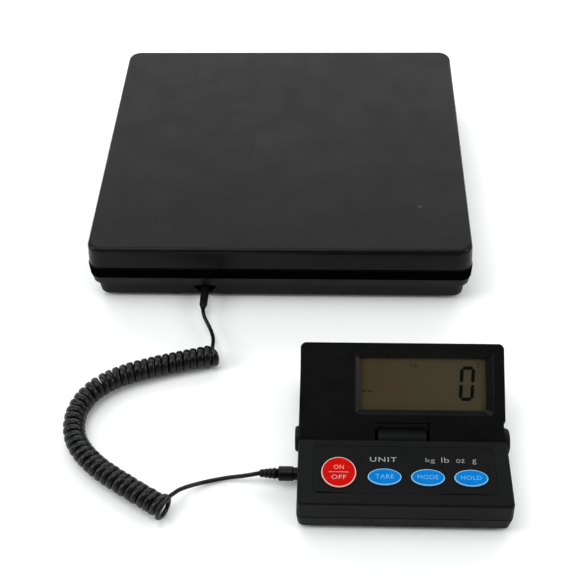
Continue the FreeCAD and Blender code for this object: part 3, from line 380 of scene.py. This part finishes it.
def clear(name, colour, roughness):
    """A thin clear pane: light passes straight on, and a share is mirrored at the surface."""
    shader = Shader(name, colour, roughness)
    passing = shader.node("ShaderNodeBsdfTransparent")
    passing.inputs["Color"].default_value = (*colour, 1.0)
    mirror = shader.node("ShaderNodeBsdfGlossy")
    mirror.inputs["Color"].default_value = (0.16, 0.16, 0.165, 1.0)
    smear = shader.ramp(shader.noise(60.0, 3.0), 0.35, 0.7, roughness, roughness + 0.12)
    shader.link(smear, mirror.inputs["Roughness"])
    facing = shader.node("ShaderNodeLayerWeight").outputs["Facing"]
    share = shader.ramp(shader.math("POWER", facing, 5.0), 0.0, 1.0, 0.035, 0.9)
    mix = shader.node("ShaderNodeMixShader")
    shader.link(share, mix.inputs[0])
    shader.link(passing.outputs[0], mix.inputs[1])
    shader.link(mirror.outputs[0], mix.inputs[2])
    shader.link(mix.outputs[0], shader.tree.nodes["Material Output"].inputs["Surface"])
    return shader.material


def tray_material():
    """Satin black tray: fine grain, a gate mark in the middle and a few scuffs."""
    shader = moulded("tray_plastic", (0.0048, 0.0046, 0.0051), 0.42, 0.096, 2200.0, 0.00005, 0.06)
    low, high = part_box("weighing_tray")
    centre = ((low[0] + high[0]) / 2, (low[1] + high[1]) / 2)
    top = shader.ramp(shader.axis("Z"), high[2] - 0.35 * MM, high[2] - 0.05 * MM)
    patches = shader.ramp(shader.noise(60.0, 4.0), 0.3, 0.7, -0.04, 0.05)
    gloss = shader.math("ADD", shader.ramp(top, 0.0, 1.0, 0.24, 0.42), patches)
    shader.link(gloss, shader.surface.inputs["Roughness"])
    gate = shader.disc(centre, 1.9 * MM, 2.3 * MM)
    halo = shader.disc(centre, 3.0 * MM, 26.0 * MM)
    shader.tint(shader.ramp(halo, 0.0, 1.0, 0.0, 0.35), (0.015, 0.014, 0.0145))
    shader.tint(shader.ramp(gate, 0.0, 1.0, 0.0, 0.5), (0.004, 0.004, 0.004))
    shader.raise_by(gate, 0.6, 0.00015)
    scuff = shader.disc((high[0] - 30.0 * MM, low[1] + 39.0 * MM), 0.5 * MM, 1.6 * MM)
    shader.tint(shader.ramp(scuff, 0.0, 1.0, 0.0, 0.6), (0.05, 0.05, 0.052))
    scratches = shader.ramp(shader.noise(45.0, 5.0, 0.75, (1.0, 9.0, 1.0)), 0.71, 0.76, 0.0, 0.25)
    shader.tint(scratches, (0.03, 0.03, 0.031))
    return shader.material


def key_material(name, node, colour, ring):
    """A coloured key cap with a pale printed ring round its edge, and painted shade on its sides."""
    shader = glossy(name, colour, 0.4, 0.02)
    low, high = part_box(node)
    half_x = (high[0] - low[0]) / 2 - KEY_FLANGE
    half_y = (high[1] - low[1]) / 2 - KEY_FLANGE
    across = shader.math("SUBTRACT", shader.axis("X"), (high[0] + low[0]) / 2)
    along = shader.math("SUBTRACT", shader.axis("Y"), (high[1] + low[1]) / 2)
    inner_x, inner_y = half_x - KEY_RING, half_y - KEY_RING
    across = shader.math("DIVIDE", across, inner_x)
    along = shader.math("DIVIDE", along, inner_y)
    reach = shader.math("ADD", shader.math("MULTIPLY", across, across), shader.math("MULTIPLY", along, along))
    edge = shader.ramp(reach, 0.985, 1.015)
    side = shader.ramp(shader.axis("Z"), high[2] - 0.45 * MM, high[2] - 0.40 * MM)
    shader.tint(shader.math("MULTIPLY", edge, side), ring)
    # painted shade: below the top the cap's sides are darkened towards near-black, for the shade in the gap round
    # the cap
    shader.tint(shader.ramp(side, 0.0, 1.0, 0.55, 0.0), (0.01, 0.01, 0.012))
    return shader.material


def board_material():
    shader = Shader("board_green", (0.012, 0.09, 0.035), 0.35, 0.5)
    bricks = shader.node("ShaderNodeTexBrick")
    bricks.inputs["Scale"].default_value = 260.0
    bricks.inputs["Mortar Size"].default_value = 0.03
    shader.link(shader.coordinates, bricks.inputs["Vector"])
    shader.tint(bricks.outputs["Fac"], (0.03, 0.16, 0.06))
    pads = shader.ramp(shader.noise(420.0, 1.0), 0.66, 0.7)
    shader.tint(pads, (0.55, 0.5, 0.4))
    shader.roughen(shader.noise(300.0), 0.25, 0.4)
    shader.raise_by(bricks.outputs["Fac"], 0.3, 0.00005)
    return shader.material


CELL_LENGTH = 44.5 * MM
COPPER_START = 30.0 * MM
WRAP_END = 43.7 * MM


def battery_material():
    """Cells with a dark wrap, a copper-coloured band at one end and bare ends."""
    shader = glossy("cell_wrap", (0.012, 0.02, 0.016), 0.28)
    low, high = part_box("battery_cells")
    middle = (low[0] + high[0]) / 2
    from_end = shader.math("PINGPONG", shader.math("SUBTRACT", shader.axis("X"), middle), CELL_LENGTH)
    shader.tint(shader.ramp(from_end, COPPER_START, COPPER_START + 0.2 * MM), (0.55, 0.25, 0.09))
    shader.tint(shader.ramp(from_end, WRAP_END, WRAP_END + 0.1 * MM), (0.6, 0.6, 0.58))
    return shader.material


def lcd_material():
    """The face of the liquid crystal cell: olive, browner towards the left."""
    shader = Shader("lcd_glass", (0.077, 0.060, 0.036), 0.32, 0.05)
    low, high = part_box("lcd_glass")
    left = shader.ramp(shader.axis("X"), low[0] + 0.012, low[0] + 0.034, 1.0, 0.0)
    patchy = shader.math("MULTIPLY", left, shader.ramp(shader.noise(70.0, 3.0), 0.35, 0.6, 0.35, 1.0))
    shader.tint(patchy, (0.078, 0.046, 0.026))
    shader.tint(shader.ramp(shader.noise(30.0, 2.0), 0.5, 0.8, 0.0, 0.5), (0.072, 0.058, 0.036))
    shader.roughen(shader.noise(900.0), 0.28, 0.36)
    shader.raise_by(shader.noise(2400.0), 0.15, 0.00003)
    return shader.material


def wrapped(shader, band_colour, spacing):
    """Fine even lines across X, such as a strip of conducting rubber or printed film."""
    lines = shader.math("SINE", shader.math("MULTIPLY", shader.axis("X"), 2 * math.pi / spacing))
    shader.tint(shader.ramp(lines, -0.1, 0.1), band_colour)
    return shader.material


SLOT_MATERIALS = {
    "tray_plastic": tray_material(),
    "base_plastic": moulded("base_plastic", (0.0034, 0.0036, 0.0035), 0.5, 0.125, dust=0.06).material,
    "pan_plastic": moulded("pan_plastic", (0.0032, 0.0033, 0.0032), 0.5, 0.12, dust=0.06).material,
    "frame_steel": metal("frame_steel", (0.60, 0.61, 0.62), 0.35, (1.0, 12.0, 12.0)).material,
    "screw_steel": metal("screw_steel", (0.55, 0.55, 0.55), 0.32, (5.0, 5.0, 1.0)).material,
    "cell_aluminium": metal("cell_aluminium", (0.78, 0.79, 0.80), 0.3, (1.0, 14.0, 14.0)).material,
    "gauge_silicone": rubber("gauge_silicone", (0.62, 0.63, 0.60), 0.5, 0.4).material,
    "foot_rubber": rubber("foot_rubber", (0.022, 0.022, 0.022), 0.75, 0.3).material,
    "boot_rubber": rubber("boot_rubber", (0.003, 0.003, 0.0032), 0.5, 0.12).material,
    "cord_jacket": rubber("cord_jacket", (0.0014, 0.0014, 0.0016), 0.30, 0.24).material,
    "plug_plastic": rubber("plug_plastic", (0.0016, 0.0016, 0.0018), 0.36, 0.13).material,
    "plug_metal": metal("plug_metal", (0.85, 0.84, 0.80), 0.15, (1.0, 10.0, 10.0)).material,
    "clamp_plastic": moulded("clamp_plastic", (0.62, 0.61, 0.57), 0.45, 0.5).material,
    "unit_plastic": moulded("unit_plastic", (0.0030, 0.0031, 0.0031), 0.47, 0.066, dust=0.06).material,
    "head_plastic": moulded("head_plastic", (0.0022, 0.0022, 0.0023), 0.40, 0.07, dust=0.05).material,
    "pin_plastic": moulded("pin_plastic", (0.0034, 0.0035, 0.0036), 0.42, 0.10).material,
    "label_film": moulded("label_film", (0.0021, 0.0022, 0.0024), 0.45, 0.066,
                          3000.0, 0.00003, 0.06).material,
    "button_red": glossy("button_red", (0.76, 0.010, 0.006), 0.42, 0.4).material,
    "button_blue": glossy("button_blue", (0.0, 0.215, 0.74), 0.42, 0.4).material,
    "dome_silicone": rubber("dome_silicone", (0.42, 0.43, 0.45), 0.55, 0.4).material,
    "mat_silicone": rubber("mat_silicone", (0.24, 0.25, 0.27), 0.6, 0.4).material,
    "board_green": board_material(),
    "component_black": moulded("component_black", (0.012, 0.012, 0.012), 0.5, 0.45).material,
    "jack_plastic": moulded("jack_plastic", (0.012, 0.012, 0.012), 0.4, 0.5).material,
    "flex_film": wrapped(glossy("flex_film", (0.45, 0.17, 0.02), 0.3), (0.25, 0.09, 0.01), 1.0 * MM),
    "cell_wrap": battery_material(),
    "contact_metal": metal("contact_metal", (0.75, 0.74, 0.70), 0.25, (6.0, 6.0, 1.0)).material,
    "door_plastic": moulded("door_plastic", (0.0034, 0.0035, 0.0035), 0.5, 0.08).material,
    "window_acrylic": clear("window_acrylic", (0.92, 0.94, 0.91), 0.14),
    "lcd_glass": lcd_material(),
    "reflector_film": glossy("reflector_film", (0.40, 0.39, 0.28), 0.5).material,
    "strip_rubber": wrapped(rubber("strip_rubber", (0.5, 0.28, 0.36), 0.6, 0.4),
                            (0.03, 0.03, 0.03), 0.4 * MM),
}


def paint(node, material):
    if not node.material_slots:
        node.data.materials.append(None)
    for place in node.material_slots:
        place.material = material


for part in frame["record"]["subparts"]:
    paint(NODES[part["node"]], SLOT_MATERIALS[part["material_slot"]])

KEY_FLANGE = 1.4 * MM
KEY_RING = 0.55 * MM
RED, PALE = (0.45, 0.003, 0.001), (0.56, 0.42, 0.40)
BLUE, PALE_BLUE = (0.0005, 0.150, 0.47), (0.22, 0.44, 0.60)
KEYS = {"power_button": (RED, PALE), "tare_button": (BLUE, PALE_BLUE),
        "mode_button": (BLUE, PALE_BLUE), "hold_button": (BLUE, PALE_BLUE)}
for key, (colour, ring) in KEYS.items():
    paint(NODES[key], key_material(key + "_cap", key, colour, ring))

floor_shader = Shader("floor_paper", (0.93, 0.93, 0.93), 0.7, 0.2)
floor_shader.tint(floor_shader.ramp(floor_shader.noise(9.0, 3.0), 0.4, 0.7), (0.915, 0.915, 0.915))
floor_shader.raise_by(floor_shader.noise(700.0), 0.1, 0.00004)
floor_mesh = bpy.data.meshes.new("floor")
floor_mesh.from_pydata([(-6, -6, 0), (6, -6, 0), (6, 6, 0), (-6, 6, 0)], [], [(0, 1, 2, 3)])
floor_mesh.materials.append(floor_shader.material)
floor = new_object("floor", floor_mesh)
floor.location.z = -0.0002


# ================= the cord =================

LEAD_DIAMETER = 2.3 * MM
COIL_WIRE_WIDTH = 4.0 * MM
COIL_WIRE_THICKNESS = 2.9 * MM
LEAD_BASE_LENGTH = 34.0 * MM
LEAD_DISPLAY_LENGTH = 86.0 * MM
BLEND_LENGTH = 9.0 * MM
HELIX_RADIUS = 4.68 * MM
HELIX_PITCH = 4.1 * MM
POINTS_A_TURN = 16
LAST_TURN_GROWTH = 1.45 * MM
LEAD_BASE_ROUTE = [
    (-0.0510, -0.0349, 0.0080),
    (-0.0504, -0.0399, 0.0078),
    (-0.0463, -0.0470, 0.0062),
    (-0.0436, -0.0538, 0.0062),
    (-0.0424, -0.0610, 0.0090),
    (-0.0426, -0.0686, 0.0113),
]
COIL_ROUTE = [
    (-0.0412, -0.0682, 0.0063),
    (-0.0710, -0.0754, 0.0063),
    (-0.1013, -0.0868, 0.0063),
    (-0.1150, -0.1045, 0.0063),
    (-0.1142, -0.1256, 0.0063),
    (-0.1010, -0.1419, 0.0063),
    (-0.0794, -0.1560, 0.0063),
    (-0.0586, -0.1683, 0.0063),
]
LEAD_DISPLAY_ROUTE = [
    (-0.0563, -0.1643, 0.0123),
    (-0.0545, -0.1607, 0.0096),
    (-0.0520, -0.1566, 0.0068),
    (-0.0466, -0.1523, 0.0036),
    (-0.0380, -0.1483, 0.0013),
    (-0.0280, -0.1465, 0.0022),
    (-0.0188, -0.1476, 0.0058),
    (-0.0114, -0.1467, 0.0072),
]


def smooth_curve(name, points, resolution):
    """One open NURBS spline with the given control points."""
    curve = bpy.data.curves.new(name, "CURVE")
    curve.dimensions = "3D"
    spline = curve.splines.new("NURBS")
    spline.points.add(len(points) - 1)
    for place, point in zip(spline.points, points):
        place.co = (*point, 1.0)
    spline.order_u = 3
    spline.use_endpoint_u = True
    spline.resolution_u = resolution
    return curve


def line_points(points, resolution=24):
    """Points along the smooth line of a route."""
    curve = smooth_curve("route", points, resolution)
    holder = new_object("route", curve)
    bpy.context.view_layer.update()
    mesh = bpy.data.meshes.new_from_object(holder)
    found = [v.co.copy() for v in mesh.vertices]
    bpy.data.objects.remove(holder)
    bpy.data.meshes.remove(mesh)
    bpy.data.curves.remove(curve)
    return found


def walk(points, distance):
    """The point and the heading at a distance along a line of points."""
    gone = 0.0
    for here, after in zip(points, points[1:]):
        step = (after - here).length
        if gone + step >= distance:
            return here.lerp(after, (distance - gone) / step), (after - here).normalized()
        gone += step
    return points[-1], (points[-1] - points[-2]).normalized()


def helix_points():
    """The curly part: turns about the line of the coil's route. The first one is pulled forward by
    the lead, and the last one has opened and leans outward."""
    middle = line_points(COIL_ROUTE)
    total = sum((b - a).length for a, b in zip(middle, middle[1:]))
    turns = round(total / HELIX_PITCH)
    steps = round((turns + 0.125) * POINTS_A_TURN)
    reach = HELIX_RADIUS / (0.75 + 0.25 * math.cos(2 * math.pi / POINTS_A_TURN))
    found = []
    for step in range(1, steps):
        turned_by = step / POINTS_A_TURN
        centre, heading = walk(middle, total * min(1.0, turned_by / turns))
        side = Vector((-heading.y, heading.x, 0.0)).normalized()
        angle = 2 * math.pi * turned_by
        wobble = 0.16 * MM * math.sin(0.43 * angle) + 0.10 * MM * math.sin(0.171 * angle)
        first = max(0.0, 1.0 - turned_by)
        last = max(0.0, min(1.0, (turned_by - turns + 1.0) * 3.0))
        last = last * last * (3 - 2 * last)
        forward = max(0.0, math.sin(angle))
        along = wobble + 0.5 * MM * last - 0.9 * MM * first * forward
        radius = reach + 0.9 * MM * first * forward + LAST_TURN_GROWTH * last
        around = math.cos(angle) * Vector((0, 0, 1)) + math.sin(angle) * side
        lift = Vector((0, 0, LAST_TURN_GROWTH * last))
        found.append(centre + lift + heading * along + radius * around)
    return found


def swept(line, widths, flats, outward):
    """A closed tube along a line. Each ring is as wide as widths and as thick as flats says, with a
    shallow valley along its outer and inner side where it is wide; outward gives each ring's thin way."""
    sides = 20
    vertices, faces = [], []
    for index, point in enumerate(line):
        before, after = line[max(index - 1, 0)], line[min(index + 1, len(line) - 1)]
        heading = (after - before).normalized()
        thin = (outward[index] - heading * outward[index].dot(heading)).normalized()
        wide = heading.cross(thin)
        half_wide, half_thin = widths[index] / 2, flats[index] / 2
        valley = 0.10 * max(0.0, 1.0 - half_thin / half_wide) / 0.29
        for side in range(sides):
            angle = 2 * math.pi * side / sides
            dip = 1.0 - valley * math.exp(-((math.cos(angle) / 0.36) ** 2))
            outwards = thin * (half_thin * dip * math.sin(angle))
            vertices.append(point + wide * (half_wide * math.cos(angle)) + outwards)
    for index in range(len(line) - 1):
        for side in range(sides):
            other = (side + 1) % sides
            faces.append((index * sides + side, index * sides + other,
                          (index + 1) * sides + other, (index + 1) * sides + side))
    faces.append(list(range(sides)))
    faces.append([(len(line) - 1) * sides + side for side in reversed(range(sides))])
    return vertices, faces


def make_cord():
    """The wire is round in the two leads, and a wider twin wire in the curly part, as it was wound."""
    route = [Vector(p) for p in LEAD_BASE_ROUTE] + helix_points() + [Vector(p) for p in LEAD_DISPLAY_ROUTE]
    line = line_points(route, 3)
    gone = [0.0]
    for here, after in zip(line, line[1:]):
        gone.append(gone[-1] + (after - here).length)
    length = gone[-1]
    middle = line_points(COIL_ROUTE, 12)
    widths, flats, outward = [], [], []
    for point, so_far in zip(line, gone):
        past_base = so_far - LEAD_BASE_LENGTH
        before_display = length - LEAD_DISPLAY_LENGTH - so_far
        curly = max(0.0, min(1.0, past_base / BLEND_LENGTH, before_display / BLEND_LENGTH))
        curly = curly * curly * (3 - 2 * curly)
        widths.append(LEAD_DIAMETER + (COIL_WIRE_WIDTH - LEAD_DIAMETER) * curly)
        flats.append(LEAD_DIAMETER + (COIL_WIRE_THICKNESS - LEAD_DIAMETER) * curly)
        nearest = min(middle, key=lambda place: (place - point).length_squared)
        outward.append((point - nearest).normalized() if curly > 0.02 else Vector((0, 0, 1)))
    vertices, faces = swept(line, widths, flats, outward)
    jacket = SLOT_MATERIALS["cord_jacket"]
    piece = mesh_piece("curly_cord", vertices, faces, "base", jacket, True)
    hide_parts("cord_lead_base", "cord_coil", "cord_lead_display")
    return piece, length, line


cord_piece, cord_length, cord_line = make_cord()
print("cord length", round(cord_length, 4))


# ================= the plug =================

RIB_PROFILE = ((-0.35, 0.0), (-0.1, 0.5), (0.15, 0.9), (0.55, 1.0), (0.95, 0.9), (1.2, 0.5), (1.45, 0.0))


def make_plug_sleeve():
    """The ribbed strain relief behind the plug: a tapered core with four rounded ribs."""
    low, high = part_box("plug_strain_relief")
    start, end = low[0], high[0]
    profile = [(start, 0.9 * MM), (start, 1.6 * MM)]
    for number in range(4):
        rib = start + (0.9 + 2.1 * number) * MM
        core = (1.95 + 0.2 * number) * MM
        crest = (2.15 + 0.27 * number) * MM
        for step, height in RIB_PROFILE:
            profile.append((rib + step * MM, core + (crest - core) * height))
    profile += [(end, 2.6 * MM), (end, 0.9 * MM)]
    centre = Matrix.Translation((0.0, (low[1] + high[1]) / 2, (low[2] + high[2]) / 2))
    vertices, faces = turned(profile, 40, centre)
    plastic = SLOT_MATERIALS["plug_plastic"]
    sleeve = mesh_piece("plug_sleeve", vertices, faces, "base", plastic, True)
    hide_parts("plug_strain_relief")
    return sleeve


make_plug_sleeve()


# ================= the platform's collar: a band of painted shade ===

# rings of the band as (height, inset, corner radius), in millimetres
SHADE_BAND_RINGS = ((20.4, 0.16, 6.54), (20.4, 0.10, 6.6), (27.88, 0.0, 7.0), (27.88, 0.06, 6.94))
SHADE_BAND_SKIN = 0.06 * MM


def make_painted_shade_band():
    """A near-black matte band round the top of the base, just outside the ring's own collar: painted shade for the
    deep shade in the gap under the tray's skirt.
    """
    low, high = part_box("base_rim")
    loops = []
    for z, inset, radius in SHADE_BAND_RINGS:
        shift = inset * MM - SHADE_BAND_SKIN
        loops.append(rounded_loop((low[0] + shift, low[1] + shift), (high[0] - shift, high[1] - shift),
                                  radius * MM, z * MM, 10))
    vertices, faces = banded(loops)
    # painted shade: near-black with no specular, so the band stays dark under any lamp
    shader = moulded("collar_painted_shade", (0.0008, 0.0008, 0.0008), 0.6, 0.0, dust=0.04)
    return mesh_piece("collar_shade_band", vertices, faces, "base", shader.material)


make_painted_shade_band()


# ================= print on the keys and the key panel =================

INK_WHITE = glossy("ink_white", (0.62, 0.30, 0.28), 0.5, 0.05).material
INK_BLUE = glossy("ink_pale_blue", (0.12, 0.38, 0.66), 0.5, 0.05).material
INK_GREY = glossy("ink_grey", (0.30, 0.30, 0.295), 0.5, 0.05).material


def key_words(key, body, lines, ink):
    low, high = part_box(key)
    place = Matrix.Translation(((low[0] + high[0]) / 2, (low[1] + high[1]) / 2, high[2] + 0.01 * MM))
    for number, (words, up, width, height) in enumerate(lines):
        lettering(key + "_word_" + str(number + 1), words, (0.0, up * MM, 0.0), width * MM, height * MM,
                  place, body, ink, -0.004, 1.08)
    return place


power_words = (("ON", 2.8, 5.0, 2.4), ("OFF", -3.0, 7.3, 2.5))
power_place = key_words("power_button", "power_key", power_words, INK_WHITE)
bar = [(-5.1 * MM, -0.25 * MM), (5.1 * MM, -0.25 * MM), (5.1 * MM, 0.02 * MM), (-5.1 * MM, 0.02 * MM)]
vertices, faces = plates([bar], 0.0, 0.03 * MM, power_place)
mesh_piece("power_button_line", vertices, faces, "power_key", INK_WHITE)
key_words("tare_button", "tare_key", (("TARE", 0.1, 9.2, 2.4),), INK_BLUE)
key_words("mode_button", "mode_key", (("MODE", 0.1, 10.4, 2.4),), INK_BLUE)
key_words("hold_button", "hold_key", (("HOLD", 0.1, 10.2, 2.4),), INK_BLUE)

label_low, label_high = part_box("keypad_label")
label_place = Matrix.Translation(((label_low[0] + label_high[0]) / 2, label_low[1], label_high[2]))
lettering("label_word_unit", "UNIT", (-10.2 * MM, 19.6 * MM, 0.01 * MM), 13.5 * MM, 2.7 * MM, label_place,
          "display_unit", INK_GREY, 0.0, 1.15)
# each unit as (letters, place along the panel, width, height, place up the panel), in millimetres
UNITS = (("kg", 13.5, 4.6, 3.3, 19.2), ("lb", 21.0, 3.8, 3.0, 19.75),
         ("oz", 28.6, 4.3, 2.1, 19.3), ("g", 35.6, 2.0, 2.9, 18.9))
for number, (words, x, width, height, up) in enumerate(UNITS):
    lettering("label_unit_" + str(number + 1), words, (x * MM, up * MM, 0.01 * MM), width * MM, height * MM,
              label_place, "display_unit", INK_GREY, -0.012, 1.05)

# two slivers of painted shadow under the front edge of the label: near-black sheets for the shadow where its film
# has lifted
lifted_edge_shadows = [[(-45.7, -0.1), (-43.0, -0.2), (-34.0, -0.1), (-27.0, 0.15),
         (-34.0, 0.3), (-43.5, 0.65), (-45.8, 1.0)],
        [(15.0, 0.1), (24.0, -0.15), (36.0, -0.15), (43.0, 0.1), (36.0, 0.4), (24.0, 0.4)]]
lifted_edge_shadows = [[(x * MM, y * MM) for x, y in outline] for outline in lifted_edge_shadows]
vertices, faces = plates(lifted_edge_shadows, 0.0, 0.02 * MM, label_place)
# painted shadow: near-black with no specular
SHADOW = Shader("label_painted_shadow", (0.0004, 0.0004, 0.0004), 0.8, 0.0)
SHADOW.tint(SHADOW.ramp(SHADOW.noise(900.0), 0.4, 0.7), (0.001, 0.001, 0.001))
mesh_piece("label_edge_painted_shadow", vertices, faces, "display_unit", SHADOW.material)


# ================= the liquid crystal display =================

HEAD_TILT = math.radians(32.6)
hinge = next(joint["pos_m"] for joint in frame["joints"] if joint["name"] == "head_tilt")
# millimetres of the flat head, with the hinge's line at y = 43 and z = 17
HINGE_IN_HEAD = (0, -0.043, -0.017)
head_turn = Matrix.Rotation(HEAD_TILT, 4, "X")
head_place = Matrix.Translation(hinge) @ head_turn @ Matrix.Translation(HINGE_IN_HEAD)
LCD_FACE = 21.12 * MM
PRINT_THICKNESS = 0.03 * MM


def segment(start, end, thickness, slant):
    """The outline of one bar of a digit: a long hexagon, leaning like the digit."""
    run = Vector((end[0] - start[0], end[1] - start[1]))
    unit = run.normalized()
    normal = Vector((-unit.y, unit.x))
    half = thickness / 2
    a, b = Vector(start), Vector(end)
    points = [a, a + unit * half + normal * half, b - unit * half + normal * half,
              b, b - unit * half - normal * half, a + unit * half - normal * half]
    return [(p.x + slant * p.y, p.y) for p in points]


def make_digit(name, left, bottom, width, height, thickness):
    gap = 0.12 * MM
    middle_gap = 0.4 * MM
    middle = height / 2
    bars = [((gap, height), (width - gap, height)), ((gap, 0), (width - gap, 0))]
    for x in (0.0, width):
        bars.append(((x, gap), (x, middle - middle_gap)))
        bars.append(((x, middle + middle_gap), (x, height - gap)))
    outlines = []
    for start, end in bars:
        outline = segment(start, end, thickness, 0.065)
        outlines.append([(x + left, y + bottom) for x, y in outline])
    vertices, faces = plates(outlines, LCD_FACE, LCD_FACE + PRINT_THICKNESS, head_place)
    return mesh_piece(name, vertices, faces, "display_head", LCD_INK)


# rectangles of the window frame, and its rings as (growth, height, corner radius), in millimetres
FRAME_OUTSIDE = ((-24.2, 56.2), (46.8, 88.0))
FRAME_OUTER_RINGS = ((0.55, 24.0, 2.5), (0.3, 24.1, 2.3), (0.0, 24.03, 2.0))
FRAME_INSIDE = ((-21.8, 58.5), (43.4, 85.8))
FRAME_INNER_RINGS = ((0.0, 22.85, 0.8), (0.25, 22.6, 1.0))


def make_window_frame():
    """The glossy sloping frame between the face of the head and the window."""
    loops = []
    for rectangle, rings in ((FRAME_OUTSIDE, FRAME_OUTER_RINGS), (FRAME_INSIDE, FRAME_INNER_RINGS)):
        (left, bottom), (right, top) = rectangle
        for grow, lift, radius in rings:
            low = ((left - grow) * MM, (bottom - grow) * MM)
            high = ((right + grow) * MM, (top + grow) * MM)
            loops.append(rounded_loop(low, high, radius * MM, lift * MM))
    loops = [[head_place @ point for point in loop] for loop in loops]
    vertices, faces = banded(loops)
    gloss = moulded("window_frame", (0.004, 0.004, 0.0042), 0.22, 0.06, dust=0.03).material
    return mesh_piece("window_frame", vertices, faces, "display_head", gloss)


make_window_frame()

LCD_INK = Shader("lcd_ink", (0.0015, 0.0032, 0.0026), 0.4, 0.05)
LCD_INK.tint(LCD_INK.ramp(LCD_INK.noise(800.0), 0.4, 0.7), (0.0025, 0.0045, 0.0036))
LCD_INK = LCD_INK.material
LCD_FAINT = Shader("lcd_faint_ink", (0.022, 0.018, 0.011), 0.4, 0.05)
LCD_FAINT.tint(LCD_FAINT.ramp(LCD_FAINT.noise(800.0), 0.4, 0.7), (0.028, 0.023, 0.014))
LCD_FAINT = LCD_FAINT.material
make_digit("lcd_digit_zero", 30.4 * MM, 64.5 * MM, 5.9 * MM, 16.2 * MM, 1.85 * MM)
lcd_place = head_place @ Matrix.Translation((0, 0, LCD_FACE))
for words, x, y, width, height in (("kg", 6.4, 81.7, 3.6, 2.7), ("g", 39.9, 82.3, 1.7, 2.6)):
    lettering("lcd_mark_" + words, words, (x * MM, y * MM, 0), width * MM, height * MM,
              lcd_place, "display_head", LCD_FAINT)
dashes = [[(x * MM, 67.6 * MM), ((x + 2.3) * MM, 67.6 * MM), ((x + 2.3) * MM, 68.7 * MM), (x * MM, 68.7 * MM)]
          for x in (-20.7, -17.6)]
vertices, faces = plates(dashes, 0.0, PRINT_THICKNESS, lcd_place)
mesh_piece("lcd_mark_stable", vertices, faces, "display_head", LCD_FAINT)
